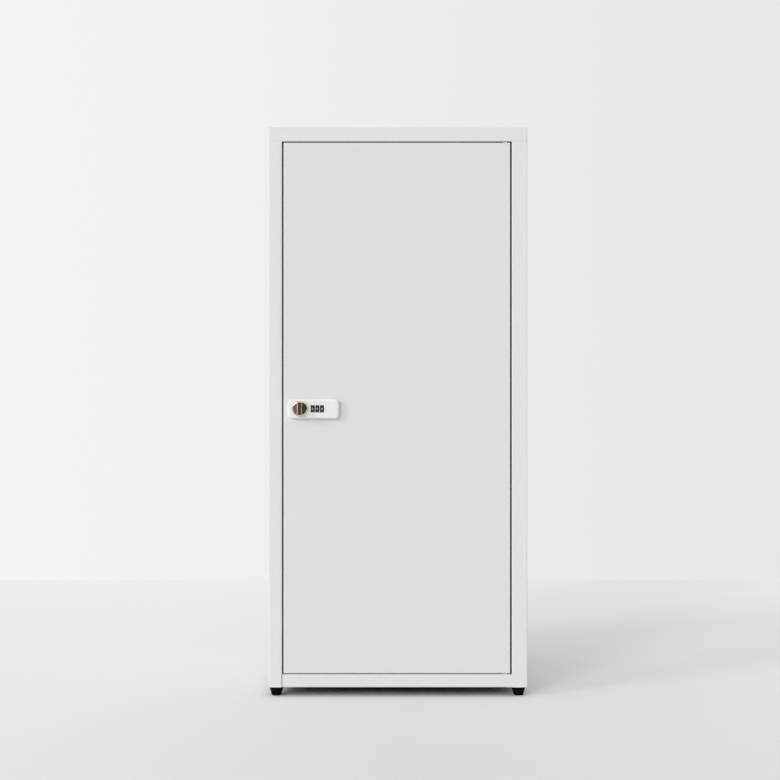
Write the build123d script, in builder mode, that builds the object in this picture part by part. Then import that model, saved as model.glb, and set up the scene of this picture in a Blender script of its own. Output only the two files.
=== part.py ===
from build123d import *
from math import cos, radians, sin, sqrt
import os

os.makedirs("parts", exist_ok=True)

# Steel locker with one inset door, hung on two pivot pins at its right edge, and a
# three-dial combination lock at its left edge. Millimetres, +Z up, front towards -Y.
# The origin is on the floor, under the middle of the box that holds cabinet and lock.

# Cabinet, over its feet and without the lock
cabinet_width = 400.0
cabinet_depth = 400.0
cabinet_height = 880.0
foot_height = 14.0

# Sheet steel of the cabinet and the door
sheet = 0.8
bend_radius = 1.6

# Front frame and the folds behind it
latch_stile = 20.5
hinge_stile = 24.0
top_rail = 22.0
bottom_rail = 20.0
stop_lip = 10.0
stop_lip_relief = 1.0
rear_fold = 15.0
joint_flange = 18.0
fold_clearance = 0.4

# Door pan and the gaps round it
side_gap = 2.5
top_gap = 2.0
bottom_gap = 1.5
door_thickness = 18.0
door_lip = 12.0

# Pivot hinge, measured from the right edge and the front of the door
hinge_inset_x = 7.7
hinge_inset_y = 5.5
hinge_pin_radius = 2.0
hinge_head_radius = 4.0
hinge_head_height = 1.5
bush_wall = 0.8
bush_flange = 0.5
bush_flange_height = 1.5
bush_length = 7.0
running_clearance = 0.05
stop_lip_hinge_gap = 25.0

# Door stiffener, a hat section
stiffener_crown = 38.0
stiffener_slope = 4.0
stiffener_foot = 12.0
stiffener_height = 14.0
stiffener_offset_x = 22.0
stiffener_end_gap = 6.0

# Rubber buffers on the stop lip
buffer_radius = 3.5
buffer_height = 1.9
buffer_gap = 0.1
buffer_end_distance = 60.0

# Feet and their fasteners
foot_inset_x = 12.0
foot_inset_y = 14.0
foot_top_radius = 10.5
foot_bottom_radius = 7.0
foot_recess_radius = 4.4
foot_recess_depth = 7.0
foot_edge = 0.6
foot_screw_radius = 2.5
foot_screw_head_radius = 3.9
foot_screw_head_height = 2.8
foot_screw_tail = 1.0
foot_nut_flats = 8.0
foot_nut_height = 4.0

# Screws that join the top tray to the side panels
joint_screw_radius = 2.0
joint_screw_head_radius = 3.6
joint_screw_head_height = 2.2
joint_screw_tail = 0.8
joint_nut_flats = 7.0
joint_nut_height = 3.2
joint_screw_end_distance = 60.0
fastener_clearance = 0.2

# Shelves and the angle rails that carry them
shelf_flange = 20.0
shelf_setback = 36.0
shelf_side_gap = 2.0
shelf_back_gap = 3.0
shelf_rail_leg = 14.0
shelf_rail_thickness = 1.0
shelf_rail_end_gap = 20.0

# Wall-fixing holes in the back panel
wall_hole_radius = 3.25
wall_hole_spacing = 300.0
wall_hole_drop = 60.0

# Lock housing: the oblong plate on the front of the door and the body through it
lock_drop = 2.4
plate_proud = 9.5
plate_corner_radius = 7.0
plate_edge_radius = 3.2
plate_left_overlap = 2.2
plate_right_overlap = 7.3
plate_side_overlap = 2.7
housing_wall = 1.6
body_wall = 1.4
body_corner_radius = 2.0
cutout_clearance = 0.4

# Knob, spindle and cam, on one axis
knob_from_door_edge = 25.75
knob_radius = 12.25
knob_front_radius = 11.6
knob_height = 12.0
knob_base_height = 4.2
knob_edge_radius = 1.0
grip_width = 8.6
grip_front_width = 7.0
grip_root_radius = 1.4
knob_washer_radius = 9.0
knob_washer_thickness = 0.5
spindle_radius = 4.5
spigot_radius = 3.0
spigot_length = 6.5
spindle_boss_wall = 2.0
spindle_boss_length = 6.0
tang_width = 6.0
cam_gap = 1.0
cam_thickness = 2.0
cam_hub_radius = 9.0
cam_tip_radius = 5.5
cam_length = 38.0
cam_washer_radius = 6.5
cam_washer_thickness = 1.0
cam_screw_radius = 1.9
cam_screw_depth = 9.0
cam_screw_flats = 8.0
cam_screw_head_height = 3.0
clip_thickness = 0.8
clip_radius = 6.8
clip_groove_depth = 1.1
clip_gap = 0.1

# Dial wheels on their axle
wheel_count = 3
wheel_width = 5.8
wheel_radius = 10.0
wheel_proud = 1.3
wheel_edge = 0.4
digits_per_wheel = 10
wheel_groove_depth = 0.5
slot_height = 11.4
slot_side_gap = 0.15
slot_corner_radius = 0.6
wheel_room = 0.3
axle_radius = 1.25
axle_wall_thickness = 1.5
axle_wall_gap = 0.6
fit_clearance = 0.03

# Code discs, whose hubs carry the wheels
disc_radius = 6.4
disc_thickness = 0.8
disc_side_gap = 0.25
disc_end_gap = 0.05
hub_radius = 3.4
gate_width = 2.4
gate_depth = 1.8

# Locking slide, moved by an eccentric on the spindle
slide_travel = 2.0
slide_gap = 0.4
slide_thickness = 1.6
slide_web = 1.9
slide_bar_height = 4.8
finger_tip_width = 2.0
finger_arm_height = 1.2
finger_gap = 0.2
eccentric_radius = 6.2
eccentric_side_gap = 0.3
yoke_clearance = 0.15
yoke_side_gap = 0.8
yoke_to_axle = 3.5
guide_radius = 1.5
guide_web = 1.0
guide_gap = 0.1

# Detent spring, a leaf with one finger for each wheel
spring_thickness = 0.35
spring_space = 1.4
spring_bend_radius = 0.7
spring_finger_width = 3.6
spring_tip_gap = 0.2
spring_base_height = 4.5

# Rear cover of the lock and its screws
cover_wall = 1.8
cover_side_wall = 1.6
cover_flange = 2.4
cover_clearance = 0.2
cover_flange_thickness = 1.8
keeper_gap = 0.1
cover_pin_gap = 0.1
cover_edge = 0.8
post_radius = 2.6
post_inset = 0.2
post_gap = 1.65
lock_screw_radius = 1.2
lock_screw_depth = 9.0
lock_screw_head_radius = 2.5
lock_screw_head_height = 1.6
lock_screw_head_edge = 0.6

# Levels of the cabinet and the door
lock_reach = plate_proud + knob_washer_thickness + knob_height
front_y = (lock_reach - cabinet_depth) / 2
back_y = front_y + cabinet_depth
flange_back_y = back_y - sheet
flange_front_y = flange_back_y - sheet
half_width = cabinet_width / 2
wall_x = half_width - sheet
seam_z = cabinet_height - top_rail
rail_z = foot_height + bottom_rail
frame_return = door_thickness + buffer_gap + buffer_height
stop_y = front_y + frame_return
stop_back_y = stop_y + sheet
opening_left = latch_stile - half_width
opening_right = half_width - hinge_stile
door_left = opening_left + side_gap
door_right = opening_right - side_gap
door_bottom = rail_z + bottom_gap
door_top = seam_z - top_gap
door_back_y = front_y + door_thickness
door_inner_y = front_y + sheet
hinge_x = door_right - hinge_inset_x
hinge_y = front_y + hinge_inset_y

# Centre lines of the lock, just under half the height of the cabinet's body
lock_z = (foot_height + cabinet_height) / 2 - lock_drop
knob_x = door_left + knob_from_door_edge

# Depths through the lock, from its front plate to the screw behind the cam
plate_front_y = front_y - plate_proud
front_wall_y = plate_front_y + housing_wall
axle_y = plate_front_y + wheel_radius - wheel_proud
slide_front_y = axle_y + wheel_radius + slide_gap
slide_back_y = slide_front_y + slide_thickness
cover_inner_y = slide_back_y + spring_space
cover_back_y = cover_inner_y + cover_wall
clip_front_y = cover_back_y + clip_gap
clip_back_y = clip_front_y + clip_thickness
cam_front_y = stop_back_y + cam_gap
cam_back_y = cam_front_y + cam_thickness
knob_back_y = plate_front_y - knob_washer_thickness
knob_front_y = knob_back_y - knob_height
knob_base_y = knob_back_y - knob_base_height

# The eccentric moves the slide by its travel in a quarter turn, from 45 degrees above
# the spindle's level to 45 degrees below it
eccentric_offset = slide_travel / sqrt(2)
yoke_middle_z = lock_z + eccentric_offset * sin(radians(45))
yoke_opening_left = knob_x - eccentric_radius
yoke_opening_right = knob_x + eccentric_offset + eccentric_radius + yoke_side_gap
yoke_left = yoke_opening_left - slide_web
yoke_right = yoke_opening_right + slide_web

# Places along the dial axle, to the right of the yoke
axle_left_x = yoke_right + yoke_to_axle
wheel_pitch = wheel_width + disc_thickness + 2 * disc_side_gap
first_disc_x = axle_left_x + axle_wall_thickness + axle_wall_gap + disc_thickness / 2
disc_places = [first_disc_x + i * wheel_pitch for i in range(wheel_count)]
wheel_places = [x + wheel_pitch / 2 for x in disc_places]
axle_right_x = wheel_places[-1] + wheel_width / 2 + axle_wall_gap + axle_wall_thickness
axle_wall_places = [axle_left_x, axle_right_x - axle_wall_thickness]

# The slide's guide is to the right of the axle, and a screw post stands at each end of the
# slide; the lock body goes round the posts and round the wheels
guide_x = axle_right_x + guide_gap + guide_web + running_clearance + guide_radius
slide_right = guide_x + guide_radius + running_clearance + guide_web
post_places = [yoke_left - post_gap - post_radius, slide_right + post_gap + post_radius]
cavity_left = post_places[0] - post_radius - post_inset
cavity_right = post_places[1] + post_radius + post_inset
cavity_length = cavity_right - cavity_left
cavity_height = 2 * (wheel_radius + wheel_room)
body_length = cavity_length + 2 * body_wall
body_height = cavity_height + 2 * body_wall
lock_x = (cavity_left + cavity_right) / 2
cutout_length = body_length + 2 * cutout_clearance
cutout_height = body_height + 2 * cutout_clearance
plate_width = cutout_length + plate_left_overlap + plate_right_overlap
plate_height = cutout_height + 2 * plate_side_overlap
plate_x = lock_x + (plate_right_overlap - plate_left_overlap) / 2

corner = (Align.MIN, Align.MIN)
low_corner = (Align.MIN, Align.MIN, Align.MIN)


def facing_front(y):
    """Plane at depth y that faces the front of the locker: local x is X and local y is Z."""
    return Plane.XZ.offset(-y)


def facing_right(x):
    """Plane across the locker at x: local x is Y and local y is Z."""
    return Plane.YZ.offset(x)


def upright_plane(x, y):
    """Plane through the vertical line at (x, y): local x is the radius and local y is Z."""
    return Plane(origin=(x, y, 0), x_dir=(1, 0, 0), z_dir=(0, -1, 0))


def upright_axis(x, y):
    """Vertical line at (x, y)."""
    return Axis((x, y, 0), (0, 0, 1))


# Plane and line of what turns on the knob's axis: local x is the radius and local y is Y
spindle_plane = Plane(origin=(knob_x, 0, lock_z), x_dir=(1, 0, 0), z_dir=(0, 0, 1))
spindle_axis = Axis((knob_x, 0, lock_z), (0, 1, 0))


# Side panels
side_holes_y = [front_y + joint_screw_end_distance, back_y - joint_screw_end_distance]
joint_hole_x = half_width - joint_flange / 2
foot_x = half_width - foot_inset_x
foot_rows_y = [front_y + foot_inset_y, back_y - foot_inset_y]


def make_side_panel(stile, lip):
    """Left-hand side panel: its fold runs from the stop lip, if it has one, round the stile,
    along the wall and round the rear fold. Flanges at top and bottom carry the fasteners."""
    opening_x = stile - half_width
    lip_end = [(opening_x + lip, stop_y)] if lip else []
    fold = lip_end + [
        (opening_x, stop_y),
        (opening_x, front_y),
        (-half_width, front_y),
        (-half_width, flange_back_y),
        (-half_width + rear_fold, flange_back_y),
    ]
    flange_length = flange_front_y - front_y - sheet
    with BuildPart() as panel:
        with BuildSketch(Plane.XY.offset(foot_height)):
            with BuildLine():
                FilletPolyline(*fold, radius=bend_radius)
                offset(amount=sheet, side=Side.RIGHT)
            make_face()
        extrude(amount=seam_z - foot_height)
        if lip:
            with Locations((opening_x, stop_y - bend_radius, foot_height)):
                Box(lip, bend_radius + 2 * sheet, bottom_rail, align=low_corner, mode=Mode.SUBTRACT)
        with BuildSketch(Plane.XY.offset(foot_height)):
            with Locations((-wall_x, front_y + sheet)):
                Rectangle(latch_stile - 2 * sheet, flange_length, align=corner)
            with Locations(*[(-foot_x, y) for y in foot_rows_y]):
                Circle(foot_screw_radius + fastener_clearance, mode=Mode.SUBTRACT)
        extrude(amount=sheet)
        with BuildSketch(Plane.XY.offset(seam_z)):
            with Locations((-wall_x, front_y + sheet)):
                Rectangle(joint_flange - sheet, flange_length, align=corner)
            with Locations(*[(-joint_hole_x, y) for y in side_holes_y]):
                Circle(joint_screw_radius + fastener_clearance, mode=Mode.SUBTRACT)
        extrude(amount=-sheet)
    return panel


left_side_panel = make_side_panel(latch_stile, stop_lip)
left_side_panel.part.label = "left_side_panel"
export_step(left_side_panel.part, "parts/left_side_panel.step")

plain_side = make_side_panel(hinge_stile, 0)
with BuildPart() as right_side_panel:
    add(mirror(plain_side.part, about=Plane.YZ, mode=Mode.PRIVATE))
right_side_panel.part.label = "right_side_panel"
export_step(right_side_panel.part, "parts/right_side_panel.step")


# Top panel: a tray turned upside down, with a return all round and a stop lip for the door
tray_depth = flange_back_y - front_y
tray_y = (flange_back_y + front_y) / 2
tray_opening_depth = tray_depth - frame_return - sheet - joint_flange
tray_opening_y = tray_y + (frame_return + sheet - joint_flange) / 2
top_lip_left = opening_left + stop_lip + stop_lip_relief
top_lip_right = hinge_x - stop_lip_hinge_gap

with BuildPart() as top_panel:
    with BuildSketch(Plane.XY.offset(seam_z)):
        with Locations((0, tray_y)):
            RectangleRounded(cabinet_width, tray_depth, bend_radius)
    extrude(amount=top_rail)
    fillet(top_panel.faces().sort_by(Axis.Z)[-1].edges(), radius=bend_radius)
    offset(amount=-sheet, openings=top_panel.faces().sort_by(Axis.Z)[0])
    with BuildSketch(Plane.XY.offset(seam_z)):
        with Locations((0, tray_y)):
            RectangleRounded(cabinet_width, tray_depth, bend_radius)
        with Locations((0, tray_opening_y)):
            Rectangle(cabinet_width - 2 * joint_flange, tray_opening_depth, mode=Mode.SUBTRACT)
        with Locations(*[(side * joint_hole_x, y) for side in (-1, 1) for y in side_holes_y]):
            Circle(joint_screw_radius + fastener_clearance, mode=Mode.SUBTRACT)
        with Locations((hinge_x, hinge_y)):
            Circle(hinge_pin_radius + fit_clearance, mode=Mode.SUBTRACT)
    extrude(amount=sheet)
    with Locations((top_lip_left, stop_y, seam_z - stop_lip)):
        Box(top_lip_right - top_lip_left, sheet, stop_lip + sheet, align=low_corner)
top_panel.part.label = "top_panel"
export_step(top_panel.part, "parts/top_panel.step")


# Bottom panel: the floor, folded down to the front rail, the side flanges and the rear flange
floor_front_y = stop_back_y + fold_clearance
floor_length = flange_front_y - fold_clearance - floor_front_y
floor_half_width = wall_x - fold_clearance
floor_flange_z = foot_height + sheet + fold_clearance
floor_flange_height = rail_z - floor_flange_z
rear_flange_half_width = half_width - rear_fold - fold_clearance
rail_left = opening_left + fold_clearance
rail_right = opening_right - fold_clearance
rail_fold = [
    (front_y + rear_fold, foot_height),
    (front_y, foot_height),
    (front_y, rail_z),
    (floor_front_y, rail_z),
]

with BuildPart() as bottom_panel:
    with BuildSketch(facing_right(rail_left)):
        with BuildLine():
            FilletPolyline(*rail_fold, radius=bend_radius)
            offset(amount=sheet, side=Side.RIGHT)
        make_face()
    extrude(amount=rail_right - rail_left)
    with Locations((-floor_half_width, floor_front_y, rail_z - sheet)):
        Box(2 * floor_half_width, floor_length, sheet, align=low_corner)
    with Locations((-floor_half_width, floor_front_y, floor_flange_z)):
        Box(sheet, floor_length, floor_flange_height, align=low_corner)
    with Locations((floor_half_width - sheet, floor_front_y, floor_flange_z)):
        Box(sheet, floor_length, floor_flange_height, align=low_corner)
    with Locations((-rear_flange_half_width, floor_front_y + floor_length - sheet, floor_flange_z)):
        Box(2 * rear_flange_half_width, sheet, floor_flange_height, align=low_corner)
    with Locations((hinge_x, hinge_y, rail_z - sheet)):
        Cylinder(
            hinge_pin_radius + fit_clearance,
            sheet,
            align=(Align.CENTER, Align.CENTER, Align.MIN),
            mode=Mode.SUBTRACT,
        )
bottom_panel.part.label = "bottom_panel"
export_step(bottom_panel.part, "parts/bottom_panel.step")


# Back panel, set in from the corners by the radius of their folds
wall_hole_z = seam_z - wall_hole_drop
with BuildPart() as back_panel:
    with BuildSketch(facing_front(back_y)):
        with Locations((0, (foot_height + cabinet_height) / 2)):
            Rectangle(cabinet_width - 2 * bend_radius, cabinet_height - foot_height - 2 * bend_radius)
        with Locations((0, wall_hole_z)):
            with GridLocations(wall_hole_spacing, 0, 2, 1):
                Circle(wall_hole_radius, mode=Mode.SUBTRACT)
    extrude(amount=sheet)
back_panel.part.label = "back_panel"
export_step(back_panel.part, "parts/back_panel.step")


# Shelves: trays turned upside down that stand on an angle rail at each side
compartment_height = (seam_z + top_rail - rail_z) / 3
shelf_levels = {
    "lower": rail_z + compartment_height,
    "upper": rail_z + 2 * compartment_height,
}
shelf_front_y = front_y + shelf_setback
shelf_depth = flange_front_y - shelf_back_gap - shelf_front_y
shelf_width = 2 * (wall_x - shelf_side_gap)
shelf_rail_front_y = shelf_front_y + shelf_rail_end_gap
shelf_rail_length = shelf_depth - 2 * shelf_rail_end_gap

for level_name, shelf_z in shelf_levels.items():
    with BuildPart() as shelf:
        with BuildSketch(Plane.XY.offset(shelf_z - shelf_flange)):
            with Locations((0, shelf_front_y + shelf_depth / 2)):
                Rectangle(shelf_width, shelf_depth)
        extrude(amount=shelf_flange)
        fillet(shelf.faces().sort_by(Axis.Z)[-1].edges(), radius=bend_radius)
        offset(amount=-sheet, openings=shelf.faces().sort_by(Axis.Z)[0])
    shelf.part.label = f"{level_name}_shelf"
    export_step(shelf.part, f"parts/{level_name}_shelf.step")

    angle_z = shelf_z - shelf_flange - shelf_rail_thickness
    with BuildPart() as left_rail:
        with Locations((-wall_x, shelf_rail_front_y, angle_z)):
            Box(shelf_rail_thickness, shelf_rail_length, shelf_rail_leg, align=low_corner)
            Box(shelf_rail_leg, shelf_rail_length, shelf_rail_thickness, align=low_corner)
    left_rail.part.label = f"{level_name}_left_shelf_rail"
    export_step(left_rail.part, f"parts/{level_name}_left_shelf_rail.step")

    with BuildPart() as right_rail:
        add(mirror(left_rail.part, about=Plane.YZ, mode=Mode.PRIVATE))
    right_rail.part.label = f"{level_name}_right_shelf_rail"
    export_step(right_rail.part, f"parts/{level_name}_right_shelf_rail.step")


# Feet: tapered, with a recess for the head of the screw that holds each one
foot_places = {
    "front_left_foot": (-foot_x, foot_rows_y[0]),
    "front_right_foot": (foot_x, foot_rows_y[0]),
    "rear_left_foot": (-foot_x, foot_rows_y[1]),
    "rear_right_foot": (foot_x, foot_rows_y[1]),
}
foot_seat_z = foot_recess_depth

for foot_name, (x, y) in foot_places.items():
    with BuildPart() as foot:
        with BuildSketch(upright_plane(x, y)):
            with BuildLine():
                Polyline(
                    (foot_screw_radius + fastener_clearance, foot_seat_z),
                    (foot_recess_radius, foot_seat_z),
                    (foot_recess_radius, 0),
                    (foot_bottom_radius - foot_edge, 0),
                    (foot_bottom_radius, foot_edge),
                    (foot_top_radius, foot_height),
                    (foot_screw_radius + fastener_clearance, foot_height),
                    close=True,
                )
            make_face()
        revolve(axis=upright_axis(x, y))
    foot.part.label = foot_name
    export_step(foot.part, f"parts/{foot_name}.step")

nut_z = foot_height + sheet
with BuildPart() as foot_screw:
    with BuildSketch(Plane.XZ):
        with BuildLine():
            Polyline(
                (0, foot_seat_z - foot_screw_head_height),
                (foot_screw_head_radius, foot_seat_z - foot_screw_head_height),
                (foot_screw_head_radius, foot_seat_z),
                (foot_screw_radius, foot_seat_z),
                (foot_screw_radius, nut_z + foot_nut_height + foot_screw_tail),
                (0, nut_z + foot_nut_height + foot_screw_tail),
                close=True,
            )
        make_face()
    revolve(axis=Axis.Z)

with BuildPart() as foot_screws:
    with Locations(*foot_places.values()):
        add(foot_screw.part)
foot_screws.part.label = "foot_screws"
export_step(foot_screws.part, "parts/foot_screws.step")

with BuildPart() as foot_nuts:
    with BuildSketch(Plane.XY.offset(nut_z)):
        with Locations(*foot_places.values()):
            RegularPolygon(foot_nut_flats / 2, 6, major_radius=False)
            Circle(foot_screw_radius + fit_clearance, mode=Mode.SUBTRACT)
    extrude(amount=foot_nut_height)
foot_nuts.part.label = "foot_nuts"
export_step(foot_nuts.part, "parts/foot_nuts.step")


# Screws and nuts that join the top panel to the side panels, put in from inside
joint_places = [(side * joint_hole_x, y) for side in (-1, 1) for y in side_holes_y]
joint_head_z = seam_z - sheet
joint_nut_z = seam_z + sheet
with BuildPart() as joint_screw:
    with BuildSketch(Plane.XZ):
        with BuildLine():
            Polyline(
                (0, joint_head_z - joint_screw_head_height),
                (joint_screw_head_radius, joint_head_z - joint_screw_head_height),
                (joint_screw_head_radius, joint_head_z),
                (joint_screw_radius, joint_head_z),
                (joint_screw_radius, joint_nut_z + joint_nut_height + joint_screw_tail),
                (0, joint_nut_z + joint_nut_height + joint_screw_tail),
                close=True,
            )
        make_face()
    revolve(axis=Axis.Z)

with BuildPart() as top_joint_screws:
    with Locations(*joint_places):
        add(joint_screw.part)
top_joint_screws.part.label = "top_joint_screws"
export_step(top_joint_screws.part, "parts/top_joint_screws.step")

with BuildPart() as top_joint_nuts:
    with BuildSketch(Plane.XY.offset(joint_nut_z)):
        with Locations(*joint_places):
            RegularPolygon(joint_nut_flats / 2, 6, major_radius=False)
            Circle(joint_screw_radius + fit_clearance, mode=Mode.SUBTRACT)
    extrude(amount=joint_nut_height)
top_joint_nuts.part.label = "top_joint_nuts"
export_step(top_joint_nuts.part, "parts/top_joint_nuts.step")


# Hinge pins, riveted into the rails, and the flanged bushes that the door turns on
bush_inner_radius = hinge_pin_radius + running_clearance
bush_outer_radius = bush_inner_radius + bush_wall
bush_flange_radius = bush_outer_radius + bush_flange


def make_hinge_pin(head_z, rail_face_z, tip_z):
    """Pin with its head inside the rail: from the head's outer face to the tip in the door."""
    with BuildPart() as pin:
        with BuildSketch(upright_plane(hinge_x, hinge_y)):
            with BuildLine():
                Polyline(
                    (0, head_z),
                    (hinge_head_radius, head_z),
                    (hinge_head_radius, rail_face_z),
                    (hinge_pin_radius, rail_face_z),
                    (hinge_pin_radius, tip_z),
                    (0, tip_z),
                    close=True,
                )
            make_face()
        revolve(axis=upright_axis(hinge_x, hinge_y))
    return pin


def make_bush(flange_z, seat_z, end_z):
    """Flanged bush: from the flange's outer face, over its seat on the door, to its end."""
    with BuildPart() as bush:
        with BuildSketch(upright_plane(hinge_x, hinge_y)):
            with BuildLine():
                Polyline(
                    (bush_inner_radius, flange_z),
                    (bush_flange_radius, flange_z),
                    (bush_flange_radius, seat_z),
                    (bush_outer_radius, seat_z),
                    (bush_outer_radius, end_z),
                    (bush_inner_radius, end_z),
                    close=True,
                )
            make_face()
        revolve(axis=upright_axis(hinge_x, hinge_y))
    return bush


upper_rail_face_z = seam_z + sheet
lower_rail_face_z = rail_z - sheet
upper_hinge_pin = make_hinge_pin(
    upper_rail_face_z + hinge_head_height, upper_rail_face_z, door_top - bush_length
)
upper_hinge_pin.part.label = "upper_hinge_pin"
export_step(upper_hinge_pin.part, "parts/upper_hinge_pin.step")

lower_hinge_pin = make_hinge_pin(
    lower_rail_face_z - hinge_head_height, lower_rail_face_z, door_bottom + bush_length
)
lower_hinge_pin.part.label = "lower_hinge_pin"
export_step(lower_hinge_pin.part, "parts/lower_hinge_pin.step")

upper_door_bush = make_bush(door_top + bush_flange_height, door_top, door_top - bush_length)
upper_door_bush.part.label = "upper_door_bush"
export_step(upper_door_bush.part, "parts/upper_door_bush.step")

lower_door_bush = make_bush(door_bottom - bottom_gap, door_bottom, door_bottom + bush_length)
lower_door_bush.part.label = "lower_door_bush"
export_step(lower_door_bush.part, "parts/lower_door_bush.step")


# Rubber buffers that the closed door rests against
buffer_x = opening_left + stop_lip / 2
with BuildPart() as door_buffers:
    with BuildSketch(facing_front(stop_y)):
        with Locations(
            (buffer_x, door_bottom + buffer_end_distance),
            (buffer_x, door_top - buffer_end_distance),
        ):
            Circle(buffer_radius)
    extrude(amount=stop_y - door_back_y - buffer_gap)
door_buffers.part.label = "door_buffers"
export_step(door_buffers.part, "parts/door_buffers.step")


# Door panel: a pan with an inner lip, cut out for the lock and drilled for the bushes
door_width = door_right - door_left
door_height = door_top - door_bottom
door_x = (door_left + door_right) / 2
door_z = (door_bottom + door_top) / 2

with BuildPart() as door_panel:
    with BuildSketch(facing_front(door_back_y)):
        with Locations((door_x, door_z)):
            Rectangle(door_width, door_height)
    extrude(amount=door_thickness)
    front_face = door_panel.faces().sort_by(Axis.Y)[0]
    fillet(door_panel.edges().filter_by(Axis.Y) + front_face.edges(), radius=bend_radius)
    offset(amount=-sheet, openings=door_panel.faces().sort_by(Axis.Y)[-1])
    with BuildSketch(facing_front(door_back_y)):
        with Locations((door_x, door_z)):
            RectangleRounded(door_width, door_height, bend_radius)
            Rectangle(door_width - 2 * door_lip, door_height - 2 * door_lip, mode=Mode.SUBTRACT)
    extrude(amount=sheet)
    with BuildSketch(facing_front(door_inner_y)):
        with Locations((lock_x, lock_z)):
            RectangleRounded(cutout_length, cutout_height, body_corner_radius)
    extrude(amount=sheet, mode=Mode.SUBTRACT)
    with BuildSketch(Plane.XY.offset(door_bottom)):
        with Locations((hinge_x, hinge_y)):
            Circle(bush_outer_radius + fit_clearance)
    extrude(amount=door_height, mode=Mode.SUBTRACT)
door_panel.part.label = "door_panel"
export_step(door_panel.part, "parts/door_panel.step")


# Door stiffener: a hat section welded to the back of the door's face
stiffener_x = door_x + stiffener_offset_x
crown_half = stiffener_crown / 2
web_foot_half = crown_half + stiffener_slope
foot_half = web_foot_half + stiffener_foot
stiffener_fold = [
    (stiffener_x - foot_half, door_inner_y),
    (stiffener_x - web_foot_half, door_inner_y),
    (stiffener_x - crown_half, door_inner_y + stiffener_height - sheet),
    (stiffener_x + crown_half, door_inner_y + stiffener_height - sheet),
    (stiffener_x + web_foot_half, door_inner_y),
    (stiffener_x + foot_half, door_inner_y),
]
stiffener_bottom = door_bottom + sheet + stiffener_end_gap
stiffener_length = door_height - 2 * (sheet + stiffener_end_gap)

with BuildPart() as door_stiffener:
    with BuildSketch(Plane.XY.offset(stiffener_bottom)):
        with BuildLine():
            FilletPolyline(*stiffener_fold, radius=bend_radius)
            offset(amount=sheet, side=Side.LEFT)
        make_face()
    extrude(amount=stiffener_length)
door_stiffener.part.label = "door_stiffener"
export_step(door_stiffener.part, "parts/door_stiffener.step")


# Lock housing: the front plate, with the body that goes through the door. Inside it are
# the spindle's boss, the walls that carry the axle, the slide's guide and the screw posts.
body_back_y = cover_inner_y - cover_pin_gap
notch_width = 2 * (axle_radius + fit_clearance)
axle_wall_back_y = axle_y + wheel_radius / 2
boss_back_y = front_wall_y + spindle_boss_length
slot_width = wheel_width + 2 * slot_side_gap

with BuildPart() as lock_housing:
    with BuildSketch(facing_front(front_y)):
        with Locations((plate_x, lock_z)):
            RectangleRounded(plate_width, plate_height, plate_corner_radius)
    extrude(amount=plate_proud)
    fillet(lock_housing.faces().sort_by(Axis.Y)[0].edges(), radius=plate_edge_radius)
    with BuildSketch(facing_front(body_back_y)):
        with Locations((lock_x, lock_z)):
            RectangleRounded(body_length, body_height, body_corner_radius)
    extrude(amount=body_back_y - front_y)
    with BuildSketch(facing_front(body_back_y)):
        with Locations((lock_x, lock_z)):
            Rectangle(cavity_length, cavity_height)
    extrude(amount=body_back_y - front_wall_y, mode=Mode.SUBTRACT)
    with BuildSketch(facing_front(boss_back_y)):
        with Locations((knob_x, lock_z)):
            Circle(spindle_radius + running_clearance + spindle_boss_wall)
    extrude(amount=spindle_boss_length)
    with BuildSketch(facing_front(axle_wall_back_y)):
        with Locations(*[(x, lock_z) for x in axle_wall_places]):
            Rectangle(axle_wall_thickness, cavity_height, align=(Align.MIN, Align.CENTER))
    extrude(amount=axle_wall_back_y - front_wall_y)
    with BuildSketch(facing_right(axle_left_x)):
        with Locations((axle_y, lock_z)):
            Circle(notch_width / 2)
            Rectangle(wheel_radius, notch_width, align=(Align.MIN, Align.CENTER))
    extrude(amount=axle_right_x - axle_left_x, mode=Mode.SUBTRACT)
    with BuildSketch(facing_front(cover_inner_y)):
        with Locations(*[(x, lock_z) for x in post_places]):
            Circle(post_radius)
    extrude(amount=cover_inner_y - front_wall_y)
    with BuildSketch(facing_front(cover_inner_y)):
        with Locations(*[(x, lock_z) for x in post_places]):
            Circle(lock_screw_radius + fit_clearance)
    extrude(amount=lock_screw_depth, mode=Mode.SUBTRACT)
    with BuildSketch(facing_front(cover_inner_y - cover_pin_gap)):
        with Locations((guide_x, lock_z)):
            Circle(guide_radius)
    extrude(amount=cover_inner_y - cover_pin_gap - front_wall_y)
    with BuildSketch(facing_front(boss_back_y)):
        with Locations((knob_x, lock_z)):
            Circle(spindle_radius + running_clearance)
    extrude(amount=boss_back_y - plate_front_y, mode=Mode.SUBTRACT)
    with BuildSketch(facing_front(front_wall_y)):
        with Locations(*[(x, lock_z) for x in wheel_places]):
            RectangleRounded(slot_width, slot_height, slot_corner_radius)
    extrude(amount=housing_wall, mode=Mode.SUBTRACT)
    for wheel_x in wheel_places:
        with BuildSketch(facing_right(wheel_x - slot_width / 2)):
            with Locations((axle_y, lock_z)):
                Circle(wheel_radius + wheel_room)
        extrude(amount=slot_width, mode=Mode.SUBTRACT)
lock_housing.part.label = "lock_housing"
export_step(lock_housing.part, "parts/lock_housing.step")


# Rear cover: a box over the lock body whose flange clamps the door against the front plate
cover_length = body_length + 2 * (cover_clearance + cover_side_wall)
cover_height = body_height + 2 * (cover_clearance + cover_side_wall)
cover_depth = cover_back_y - door_inner_y

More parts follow.
